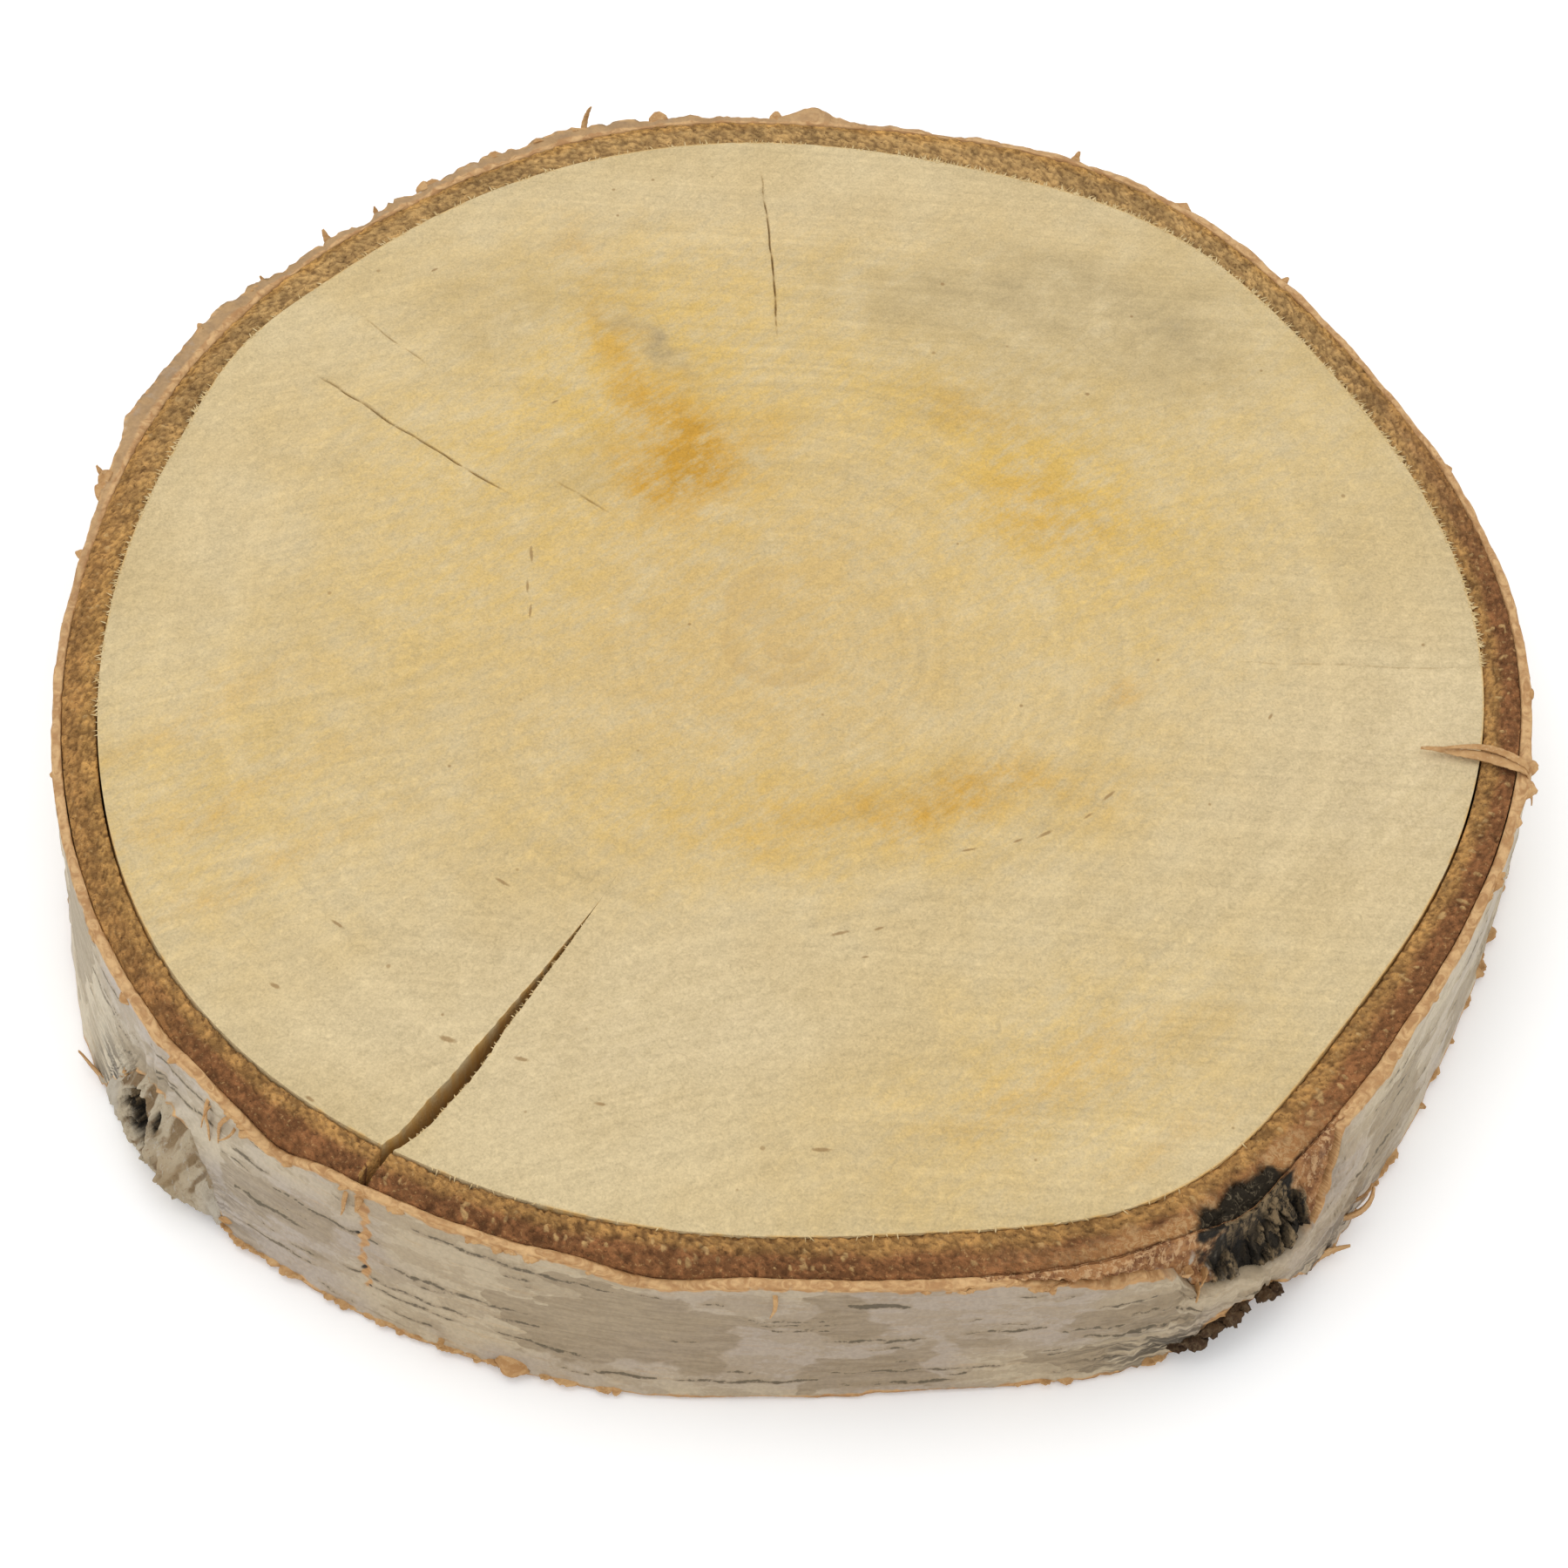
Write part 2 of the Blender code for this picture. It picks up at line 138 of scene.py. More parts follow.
def findPith():
    # the pith is where the wood's outline about it fills the wood's box
    turn = np.linspace(-180, 180, 721)
    low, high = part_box("wood")
    reachX = woodRadius(turn, 0.0) * np.cos(np.radians(turn))
    reachY = woodRadius(turn, 0.0) * np.sin(np.radians(turn))
    x = (low[0] + high[0]) / 2 / mm - (reachX.min() + reachX.max()) / 2
    y = (low[1] + high[1]) / 2 / mm - (reachY.min() + reachY.max()) / 2
    return x, y


pith = findPith()
top = trunk["thickness"]


def place(angle, radius, height):
    # polar to straight: x = pith + r cos a, y = pith + r sin a, z = height
    turn = np.radians(angle)
    x, y, z = np.broadcast_arrays(pith[0] + radius * np.cos(turn), pith[1] + radius * np.sin(turn), height)
    return np.stack([x, y, z], axis=-1).astype(float)


def rimLine(angle):
    # a level line round the trunk, for noise along it
    return place(angle, 140.0, 0.0)


def unrolled(angle, radius, height):
    # the wall laid flat: length round the trunk, height, 0
    return np.stack(np.broadcast_arrays(arc(angle, radius), height, 0.0), axis=-1)


def spots(angle, height, table):
    # sum of strength * exp(-(sideways distance / its reach) squared - (upright distance / its reach) squared)
    total = 0
    for middle, level, reachAngle, reachHeight, strength in table:
        aside, upright = (angle - middle) / reachAngle, (height - level) / reachHeight
        total = total + strength * np.exp(-(aside**2) - upright**2)
    return total


# noise worked out on whole arrays of points

def hashCells(cell, seed):
    # mixes the three whole numbers of a cell and a seed into 0 to 1023
    mixed = cell[..., 0] * 73856093 ^ cell[..., 1] * 19349663 ^ cell[..., 2] * 83492791 ^ seed * 2654435761
    mixed = (mixed ^ (mixed >> 13)) * 1274126177
    return ((mixed ^ (mixed >> 16)) & 1023).astype(np.int64)


noiseDraw = np.random.default_rng(5)
noiseArrows = noiseDraw.normal(size=(1024, 3))
noiseArrows /= np.linalg.norm(noiseArrows, axis=1)[:, None]
noiseSpots = noiseDraw.uniform(size=(1024, 3))


def smoothNoise(points, seed=0):
    # at each cell corner the dot product with a random arrow, eased between the eight corners, about -1 to 1
    cell = np.floor(points).astype(np.int64)
    part = points - cell
    ease = part**3 * (part * (part * 6 - 15) + 10)    # 6 share^5 - 15 share^4 + 10 share^3
    total = np.zeros(points.shape[:-1])
    for corner in np.ndindex(2, 2, 2):
        corner = np.array(corner)
        arrow = noiseArrows[hashCells(cell + corner, seed)]
        weight = np.prod(np.where(corner == 1, ease, 1 - ease), axis=-1)
        total += weight * ((part - corner) * arrow).sum(axis=-1)
    return total * 1.7


def fractal(points, size, octaves=4, seed=0, stretch=(1, 1, 1), fall=0.5):
    # smooth noise at a size in mm, summed with finer and weaker copies of itself
    scaled = points / (size * np.array(stretch, dtype=float))
    total = np.zeros(points.shape[:-1])
    strength, most = 1.0, 0.0
    for octave in range(octaves):
        total += strength * smoothNoise(scaled * 2.0**octave + 17.3 * octave, seed + octave)
        most += strength
        strength *= fall
    return total / most


def cellGap(points, size, seed=0, stretch=(1, 1, 1)):
    # one random spot in each cell: how much nearer the nearest is than the next, and the nearest one's chance
    scaled = points / (size * np.array(stretch, dtype=float))
    cell = np.floor(scaled).astype(np.int64)
    nearest = np.full(points.shape[:-1], 9.0)
    second = np.full(points.shape[:-1], 9.0)
    chance = np.zeros(points.shape[:-1])
    for step in np.ndindex(3, 3, 3):
        there = cell + np.array(step) - 1
        drawn = hashCells(there, seed)
        gap = np.linalg.norm(scaled - there - noiseSpots[drawn], axis=-1)
        chance = np.where(gap < nearest, drawn / 1023, chance)
        second = np.minimum(second, np.maximum(nearest, gap))
        nearest = np.minimum(nearest, gap)
    return second - nearest, chance


def shake(points, size, octaves, seeds, fall=0.5):
    # offsets in x, y and z, each from noise with its own seed
    return np.stack([fractal(points, size, octaves, seed, fall=fall) for seed in seeds], axis=-1)


def easeStep(low, high, value):
    # 0 below low, 1 above high, 3 share squared - 2 share cubed between
    share = np.clip((value - low) / (high - low), 0, 1)
    return share * share * (3 - 2 * share)


# meshes

def addObject(name, data):
    # an object at the origin, in the scene
    made = bpy.data.objects.new(name, data)
    scene.collection.objects.link(made)
    return made


def makePiece(name, sheets, material, caps=(), node=None, sharp=None):
    # joins grids of points (rows, columns, 3) and closing polygons, welds their shared borders and turns the
    # faces outwards; marks are the values at each point that the materials read
    low, high = (np.array(corner) / mm for corner in cadBox)
    points, faces, start = [], [], 0
    marks = {key: [] for _, values in sheets for key in values}
    sheets = [(grid, values, True) for grid, values in sheets] + [(loop[None], {}, False) for loop in caps]
    for grid, values, isSheet in sheets:
        index = start + np.arange(grid.shape[0] * grid.shape[1]).reshape(grid.shape[:2])
        quads = np.stack([index[:-1, :-1], index[:-1, 1:], index[1:, 1:], index[1:, :-1]], axis=-1)
        faces += quads.reshape(-1, 4).tolist() if isSheet else index.tolist()
        points.append(grid.reshape(-1, 3))
        for key in marks:
            marks[key].append(np.broadcast_to(values.get(key, 0.0), index.shape).ravel())
        start += index.size
    points = np.clip(np.concatenate(points), low, high) * mm
    mesh = bpy.data.meshes.new(name)
    mesh.from_pydata(points, [], faces)
    for key, parts in marks.items():
        mark = mesh.attributes.new(key, "FLOAT", "POINT")
        mark.data.foreach_set("value", np.concatenate(parts).astype(np.float32))
    weld(mesh)
    mesh.shade_smooth()
    if sharp:
        mesh.set_sharp_from_angle(angle=radians(sharp))
    mesh.materials.append(material)
    piece = addObject(name, mesh)
    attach(piece, "root")
    if node:
        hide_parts(node)
    print(name, len(mesh.polygons), "faces")
    return piece


def weld(mesh):
    # merges points closer than 0.0002 mm and turns the faces outwards
    bm = bmesh.new()
    bm.from_mesh(mesh)
    bmesh.ops.remove_doubles(bm, verts=bm.verts, dist=2e-7)
    bmesh.ops.recalc_face_normals(bm, faces=bm.faces)
    bm.to_mesh(mesh)
    bm.free()


def bridge(first, second, steps):
    # rows of points straight from one line of points to another
    share = np.linspace(0, 1, steps + 1)[:, None, None]
    return first[None] * (1 - share) + second[None] * share


def slab(outer, inner, steps=1):
    # two grids of one size and the four strips that close their borders
    borders = [(outer[0], inner[0]), (outer[-1], inner[-1]),
               (outer[:, 0], inner[:, 0]), (outer[:, -1], inner[:, -1])]
    return [outer, inner] + [bridge(first, second, steps) for first, second in borders]


def strand(path, half, sides=4):
    # a tube round a path: path + half width * (cos * one side + sin * the other), pointed at both ends
    ahead = np.gradient(path, axis=0)
    ahead /= np.linalg.norm(ahead, axis=1)[:, None]
    aside = np.cross(ahead, (0.31, 0.17, 0.94))
    aside /= np.linalg.norm(aside, axis=1)[:, None]
    upright = np.cross(ahead, aside)
    turn = np.linspace(0, 2 * np.pi, sides + 1)[None, :, None]
    share = np.linspace(0, 1, len(path))
    width = (half * np.minimum(1, 8 * share) * (1 - share) ** 0.8)[:, None, None]
    return path[:, None] + width * (np.cos(turn) * aside[:, None] + np.sin(turn) * upright[:, None])


# shader nodes

def addNode(tree, kind, links=None, **settings):
    # one node, its settings, and its inputs: a signal is linked, anything else is the input's value
    made = tree.nodes.new(kind)
    for key, value in settings.items():
        setattr(made, key, value)
    for key, value in (links or {}).items():
        if isinstance(value, Signal):
            tree.links.new(value.socket, made.inputs[key])
        else:
            made.inputs[key].default_value = value
    return made


class Signal:
    # an output of a node; every sum, product, pattern or mix of it adds the node that works it out

    def __init__(self, node, output=0):
        self.socket = node.outputs[output]
        self.tree = node.id_data

    def node(self, kind, links, output=0, **settings):
        # one output of a new node in the same tree
        return Signal(addNode(self.tree, kind, links, **settings), output)

    def math(self, operation, first, second):
        # the operation named, on two signals or numbers
        return self.node("ShaderNodeMath", {0: first, 1: second}, operation=operation)

    def __add__(self, other):
        return self.math("ADD", self, other)

    def __sub__(self, other):
        return self.math("SUBTRACT", self, other)

    def __rsub__(self, other):
        return self.math("SUBTRACT", other, self)

    def __mul__(self, other):
        return self.math("MULTIPLY", self, other)

    def __truediv__(self, other):
        return self.math("DIVIDE", self, other)

    def atLeast(self, other):
        # the greater of the two
        return self.math("MAXIMUM", self, other)

    def atMost(self, other):
        # the lesser of the two
        return self.math("MINIMUM", self, other)

    def spread(self, low, high, least=0.0, most=1.0):
        # eases from least to most while the value goes from low to high
        links = {"Value": self, "From Min": low, "From Max": high, "To Min": least, "To Max": most}
        return self.node("ShaderNodeMapRange", links, "Result", interpolation_type="SMOOTHSTEP")

    def mix(self, first, second, blend="MIX", share=None):
        # from one colour to another by this share; each is a signal, or red, green and blue
        first, second = (rgb(*colour) if isinstance(colour, tuple) else colour for colour in (first, second))
        links = {0: self if share is None else share, 6: first, 7: second}
        return self.node("ShaderNodeMix", links, 2, data_type="RGBA", blend_type=blend)

    def coats(self, *layers):
        # this colour with further colours laid over it, each by its share
        colour = self
        for share, over in layers:
            colour = share.mix(colour, over)
        return colour

    def tinted(self, colour):
        # this colour times another
        return self.mix(self, colour, "MULTIPLY", 1.0)

    def brighten(self, factor):
        # this colour times a number
        return self.node("ShaderNodeVectorMath", {0: self, "Scale": factor}, "Vector", operation="SCALE")

    def axis(self, name):
        # x, y or z of this place
        return self.node("ShaderNodeSeparateXYZ", {0: self}, name)

    def stretch(self, scale, turn=0.0):
        # turns the pattern's axes by an angle in degrees about the upright axis, then scales it along them
        where = self
        if turn:
            where = self.node("ShaderNodeMapping", {"Vector": self, "Rotation": (0, 0, -radians(turn))})
        return self.node("ShaderNodeMapping", {"Vector": where, "Scale": scale})

    def noise(self, scale, detail=3.0, rough=0.55, warp=0.0):
        # clouds, as many per metre as the scale
        links = {"Vector": self, "Scale": scale, "Detail": detail, "Roughness": rough, "Distortion": warp}
        return self.node("ShaderNodeTexNoise", links, "Fac")

    def lineNoise(self, detail, rough):
        # noise along a line, for the rings
        links = {"W": self, "Scale": 1.0, "Detail": detail, "Roughness": rough}
        return self.node("ShaderNodeTexNoise", links, "Fac", noise_dimensions="1D")

    def mark(self, key):
        # one of the marks on the mesh at this place
        return self.node("ShaderNodeAttribute", {}, "Fac", attribute_name=key)


def rgb(*colour):
    # red, green, blue and an alpha of 1
    return (*colour, 1.0)


def startMaterial(name, surface):
    # a material, its shader and where each point lies in the piece; a surface is roughness, specular level,
    # and the strength and depth in metres of the relief
    material = bpy.data.materials.new(name)
    material.use_nodes = True
    shader = material.node_tree.nodes["Principled BSDF"]
    shader.inputs["Roughness"].default_value = surface[0]
    shader.inputs["Specular IOR Level"].default_value = surface[1]
    return material, shader, Signal(addNode(material.node_tree, "ShaderNodeTexCoord"), "Object")


def finishMaterial(shader, colour, surface, height=None):
    # paints the shader and gives it relief
    colour.tree.links.new(colour.socket, shader.inputs["Base Color"])
    if height:
        links = {"Height": height, "Strength": surface[2], "Distance": surface[3]}
        relief = height.node("ShaderNodeBump", links)
        relief.tree.links.new(relief.socket, shader.inputs["Normal"])


def startGroup(name, inputs):
    # a shader group and its inputs, given as kind and starting value
    group = bpy.data.node_groups.new(name, "ShaderNodeTree")
    for key, (kind, value) in inputs.items():
        socket = group.interface.new_socket(name=key, in_out="INPUT", socket_type=kind)
        if value is not None:
            socket.default_value = value
    given = addNode(group, "NodeGroupInput")
    return group, {key: Signal(given, key) for key in inputs}


def finishGroup(group, results):
    # puts out each result under its name, as a plain number
    for key in results:
        group.interface.new_socket(name=key, in_out="OUTPUT", socket_type="NodeSocketFloat")
    addNode(group, "NodeGroupOutput", results)
    return group


def makeFleckGroup():
    # a dash on the sawn face: 1 inside a ragged ellipse at a place, angle, length and width, else 0
    vectors = {key: ("NodeSocketVector", None) for key in ("Vector", "Place", "Turn", "Size")}
    group, given = startGroup("woodFleck", {**vectors, "Ragged": ("NodeSocketFloat", 0.5)})
    links = {"Vector": given["Vector"], "Location": given["Place"], "Rotation": given["Turn"],
             "Scale": given["Size"]}
    local = given["Vector"].node("ShaderNodeMapping", links, vector_type="TEXTURE")
    length = local.node("ShaderNodeVectorMath", {0: local}, "Value", operation="LENGTH")
    return finishGroup(group, {"Mask": (length + given["Ragged"] * 0.9).spread(1.55, 0.9)})


def makeCrumbGroup():
    # crumbly grain: a height from coarse and fine noise, a tone and scattered dark pits
    inputs = {"Vector": ("NodeSocketVector", None), "Scale": ("NodeSocketFloat", 600.0)}
    group, given = startGroup("crumbGrain", inputs)
    where, scale = given["Vector"], given["Scale"]
    coarse = where.noise(scale, 4.0, 0.65)
    fine = where.noise(scale * 3.1, 3.0, 0.7)
    broad = where.noise(scale * 0.22, 3.0, 0.6)
    return finishGroup(group, {"Height": coarse + fine * 0.5, "Tone": coarse * 0.6 + broad * 0.4,
                               "Pits": fine.spread(0.42, 0.3)})


fleckGroup = makeFleckGroup()
crumbGroup = makeCrumbGroup()


def crumbGrain(where, scale):
    # the height, tone and pits of the crumbly grain
    node = addNode(where.tree, "ShaderNodeGroup", {"Vector": where, "Scale": scale}, node_tree=crumbGroup)
    return [Signal(node, key) for key in ("Height", "Tone", "Pits")]


# camera and light

camera = {
    "fromPith": (1.60, -404.27),   # mm
    "aboveTop": 519.97,
    "tilt": 35.5,                  # degrees from straight down
    "lens": 80.0,
    "sensor": 36.0,
}


def makeCamera():
    # where the photograph was taken from, fitted to its perspective
    data = bpy.data.cameras.new("photoCamera")
    data.lens = camera["lens"]
    data.sensor_width = camera["sensor"]
    data.clip_start = 0.01
    holder = addObject("photoCamera", data)
    spot = (pith[0] + camera["fromPith"][0], pith[1] + camera["fromPith"][1], top + camera["aboveTop"])
    holder.location = [value * mm for value in spot]
    holder.rotation_euler = (radians(camera["tilt"]), 0, 0)
    scene.camera = holder


studio = {
    "worldStrength": 1.00,
    "worldColour": (1.0, 1.0, 1.0),
    "keyPower": 5.0,
    "keySize": 1.3,
    "keySpot": (-0.25, 0.40, 1.45),    # metres
    "keyColour": (1.0, 0.985, 0.96),
    "floorColour": (0.985, 0.985, 0.985),
    "floorSurface": (0.9, 0.1),
    "floorGlow": 0.07,
    "floorSize": 6.0,
    "floorBelow": 0.0002,
}


def makeStudio():
    # an even white world, one large soft light behind on the left, and a pale floor with a faint glow
    scene.view_settings.view_transform = "Standard"
    world = bpy.data.worlds.new("studioWorld")
    world.use_nodes = True
    background = world.node_tree.nodes["Background"]
    background.inputs["Color"].default_value = rgb(*studio["worldColour"])
    background.inputs["Strength"].default_value = studio["worldStrength"]
    scene.world = world
    light = bpy.data.lights.new("softKey", "AREA")
    light.energy = studio["keyPower"]
    light.size = studio["keySize"]
    light.color = studio["keyColour"]
    holder = addObject("softKey", light)
    holder.location = studio["keySpot"]
    aim = -np.array(studio["keySpot"])
    holder.rotation_euler = (np.arctan2(np.hypot(aim[0], aim[1]), -aim[2]), 0, np.arctan2(-aim[0], aim[1]))
    size = studio["floorSize"]
    mesh = bpy.data.meshes.new("paleFloor")
    corners = [(-size, -size, 0), (size, -size, 0), (size, size, 0), (-size, size, 0)]
    mesh.from_pydata(corners, [], [(0, 1, 2, 3)])
    material, shader, _ = startMaterial("paleFloor", studio["floorSurface"])
    for key in ("Base Color", "Emission Color"):
        shader.inputs[key].default_value = rgb(*studio["floorColour"])
    shader.inputs["Emission Strength"].default_value = studio["floorGlow"]
    mesh.materials.append(material)
    floor = addObject("paleFloor", mesh)
    floor.location = (0, 0, -studio["floorBelow"])


# sawn wood

wood = {
    "columns": 420,
    "splitStart": -120.0,
    "splitAway": (67, 78, 88, 98, 104, 110, 116, 121, 125, 129, 136),
    "splitTurn": (-118.0, -118.45, -118.9, -119.3, -119.35, -119.5, -119.9, -120.1, -120.5, -121.3, -120.5),
    "splitWidth": (0.0, 0.7, 1.3, 2.1, 2.9, 3.3, 3.4, 3.1, 2.7, 2.2, 1.8),
    "splitNarrowing": 0.15,
    "splitReach": 13.0,    # degrees beside the split over which columns bend
    "checkReach": 3.5,     # and beside a check
    "bentChecks": 5,       # the last check lies in line with the split
    "edgeRing": 130.0,     # the ring number at the edge
    # outer distance, its angle, inner distance, its angle, half width, depth, darkness of the painted shade
    # in it
    "checks": (
        (127.0, 91.6, 75.6, 89.7, 0.15, 0.7, 0.8),
        (117.9, 143.7, 60.2, 145.3, 0.16, 0.7, 0.85),
        (61.0, 137.8, 43.3, 135.5, 0.16, 0.7, 0.85),
        (121.3, 135.3, 94.5, 135.0, 0.12, 0.3, 0.5),
        (134.5, -2.9, 84.0, -3.5, 0.14, 0.15, 0.26),
        (67.0, -117.6, 56.0, -116.6, 0.18, 0.6, 0.6),
    ),
    # stains: x and y from the pith, length, width, angle, strength
    "orange": (
        (-18, 43, 13, 10, 60, 1.0), (-24, 58, 12, 9, 130, 0.5), (-31, 74, 16, 5, 108, 0.32),
        (-41, 102, 9, 3, 110, 0.2), (-6, 50, 10, 8, 20, 0.2), (23, -39, 30, 6, 8, 0.42),
        (38, -33, 13, 6, 30, 0.3), (65, -12, 4, 3, 0, 0.45), (52, 31, 14, 9, 150, 0.3),
        (50, -97, 26, 5, 28, 0.24), (68, -108, 16, 3, 30, 0.22), (40, 58, 12, 6, 160, 0.2),
        (-103, -40, 30, 3, 32, 0.2), (-98, -55, 28, 3, 32, 0.2), (-110, -20, 28, 3, 32, 0.16),
    ),
    "yellow": (
        (-24, 60, 36, 26, 120, 0.75), (49, 40, 26, 18, 150, 0.75), (27, 64, 26, 14, 0, 0.5),
        (23, -40, 46, 14, 8, 0.6), (-103, -38, 34, 30, 30, 0.5), (47, -96, 40, 22, 25, 0.5),
        (-59, 14, 28, 34, 90, 0.45), (66, 12, 30, 40, 90, 0.45), (-70, 50, 40, 22, 0, 0.35),
        (-28, -38, 30, 16, 0, 0.3), (0, 90, 60, 16, 0, 0.3), (90, 60, 30, 40, 90, 0.35),
    ),
    "warm": (
        (0, 4, 46, 32, 20, 0.85), (-20, 20, 40, 26, 0, 0.3), (0, -30, 60, 30, 0, 0.35),
        (0, 100, 90, 22, 0, 0.3),
    ),
    "grey": (
        (68, 86, 34, 15, -18, 0.36), (48, 66, 24, 15, -20, 0.30), (84, 72, 20, 11, -40, 0.30),
        (-25, 75, 11, 1.7, -48, 1.0),
        (-38, 44, 10, 6, 20, 0.3), (-52, 84, 20, 10, 30, 0.25), (30, 88, 26, 10, 0, 0.3),
    ),
    "bare": (
        (110, -25, 40, 45, 80, 0.7), (-20, -85, 70, 26, 0, 0.5), (-100, 45, 30, 26, 60, 0.5),
        (10, 114, 80, 14, 0, 0.4),
    ),
    # borders of the shapes round the pith: x, y, how much wider and flatter than a circle, radius in mm
    "pithBorders": (("upperLobe", 0, 10, 1.15, 1.1, 8.7), ("lowerLobe", 1.3, -0.3, 1.1, 1, 10.4),
                    ("core", 2.5, -1, 1.2, 1, 4.6)),
    # dark flecks: x, y from the pith, angle, length, width
    "flecks": (
        (-47, 21, 95, 3.2, 0.45), (-47.4, 13, 92, 2.2, 0.4), (-46.6, 7, 88, 2.6, 0.4),
        (61, -36, 42, 2.4, 0.45), (57, -40.5, 38, 1.6, 0.35), (49, -44.5, 30, 2.6, 0.5),
        (44, -46, 25, 1.4, 0.35), (35, -48, 12, 2.2, 0.35), (11.5, -66, 15, 2.6, 0.5),
        (18.5, -65, 20, 1.6, 0.4), (-49, -55, -35, 2.4, 0.5), (62, 62, 0, 0.8, 0.6),
        (-57, -88, -20, 2.6, 0.8), (-44, -92, -15, 2.2, 0.6), (-30, -101, -10, 1.6, 0.5),
        (8, -110, 0, 2.8, 0.6), (-78, -64, -38, 2.2, 0.4), (-88, -77, -30, 1.8, 0.6),
        (-80, -100, -35, 1.6, 0.5), (16, -71, 10, 1.0, 0.3), (-44, 60, 30, 1.4, 0.3),
        (92, -18, 60, 1.2, 0.4), (-70, 96, 35, 1.3, 0.4), (34, 92, 10, 0.7, 0.6),
    ),
}


def splitHalf(away, height):
    # half the split's width in degrees: the measured width, narrower low down, with a torn ripple
    width = np.interp(away, wood["splitAway"], wood["splitWidth"])
    opened = np.clip(width / 1.2, 0, 1)
    narrow = 1 - wood["splitNarrowing"] * (1 - height / top)
    torn = 0.16 * np.sin(away * 1.9) + 0.10 * np.sin(away * 4.3 + height * 0.9) + 0.12 * np.sin(height * 0.8)
    return np.degrees((width * narrow / 2 + opened * torn * 0.5) / np.maximum(away, 1.0)) * (width > 0)


def splitMiddle(away):
    # the angle of the split's middle line at a distance from the pith
    return np.interp(away, wood["splitAway"], wood["splitTurn"])


def woodAngle(away, nominal, height):
    # columns bend to follow the split, opening it between the first and last, and to follow each check
    start = wood["splitStart"]
    bend = splitMiddle(away) - start
    half = splitHalf(away, height)
    early = np.exp(-(((nominal - start) / wood["splitReach"]) ** 2))
    late = np.exp(-(((nominal - start - 360) / wood["splitReach"]) ** 2))
    angle = nominal + early * (bend + half) + late * (bend - half)
    for outer, outerTurn, inner, innerTurn, *_ in wood["checks"][:wood["bentChecks"]]:
        line = np.interp(away, (inner, outer), (innerTurn, outerTurn))
        at = outerTurn + 360 * (outerTurn < start)
        angle = angle + (line - outerTurn) * np.exp(-(((nominal - at) / wood["checkReach"]) ** 2))
    return angle


def woodPoint(share, nominal, height):
    # angle and distance from the pith at a share of the radius, on a column bent along the split and checks
    away = share * woodRadius(nominal, height)
    angle = woodAngle(away, nominal, height)
    away = share * woodRadius(angle, height)
    return angle, away


def woodNominals():
    # column angles: evenly spread, with more beside the split and each check
    start = wood["splitStart"]
    close = np.array([0.05, 0.12, 0.22, 0.4, 0.6])
    angles = [np.linspace(start, start + 360, wood["columns"] + 1), start + close, start + 360 - close]
    near = np.array([-0.9, -0.45, -0.24, -0.12, -0.06, 0, 0.06, 0.12, 0.24, 0.45, 0.9])
    for _, outerTurn, *_ in wood["checks"][:wood["bentChecks"]]:
        angles.append(outerTurn + 360 * (outerTurn < start) + near)
    return np.unique(np.round(np.concatenate(angles), 5))


def checkDepth(away, angle, points):
    # grooves along each check: depth * exp(-(sideways distance / half width) squared), broken into dashes,
    # with painted shade along them
    depth = np.zeros(np.shape(away))
    dark = np.zeros(np.shape(away))
    dashes = fractal(points, 3.2, 3, 61) + 0.12
    for outer, outerTurn, inner, innerTurn, half, deep, shade in wood["checks"]:
        line = np.interp(away, (inner, outer), (innerTurn, outerTurn))
        aside = arc(turnFrom(angle, line), away)
        inside = easeStep(inner, inner + 10, away) * (1 - easeStep(outer - 12, outer, away))
        aside = aside + 0.35 * smoothNoise(points / 6.0, 66)
        groove = np.exp(-((aside / half) ** 2)) * inside * (0.15 + 0.85 * easeStep(-0.12, 0.12, dashes))
        depth = depth + deep * groove
        dark = np.maximum(dark, shade * groove)
    return depth, dark


def blotches(x, y, spots):
    # sum of soft ellipses, each strength * exp(-distance squared in its own length and width)
    total = np.zeros(np.shape(x))
    for middleX, middleY, length, width, turn, strength in spots:
        c, s = np.cos(np.radians(turn)), np.sin(np.radians(turn))
        along = ((x - middleX) * c + (y - middleY) * s) / length
        across = (-(x - middleX) * s + (y - middleY) * c) / width
        total += strength * np.exp(-(along**2 + across**2))
    return total


def woodMarks(points, away, angle):
    # what the wood's material reads: a ring number that grows outwards, the stains, and the distances to the
    # shapes round the pith
    edge = wood["edgeRing"]
    x, y = points[..., 0] - pith[0], points[..., 1] - pith[1]
    oval = (woodRadius(angle, top) / edge - 1) * (away / edge) ** 2    # rings are round only near the pith
    ring = away / (1 + oval) + 0.9 * fractal(points, 30, 2, 71)
    warped = points + 9.0 * shake(points, 16, 4, (72, 73, 74), 0.6)
    wx, wy = warped[..., 0] - pith[0], warped[..., 1] - pith[1]
    marks = {"ring": ring, "flat": 1.0}
    for key in ("orange", "yellow", "grey", "bare", "warm"):
        marks[key] = np.clip(blotches(wx, wy, wood[key]), 0, 1)
    # shapes round the pith: distance past each one's border, and where each border shows
    bend = 0.7 * fractal(points, 8, 2, 75)
    for key, middleX, middleY, wide, flat, radius in wood["pithBorders"]:
        marks[key] = np.hypot((x - middleX) / wide, (y - middleY) * flat) - radius + bend
    marks["leftward"] = easeStep(9, -7, x)
    marks["downward"] = easeStep(5, -5, y + 0.3 * x)
    return marks


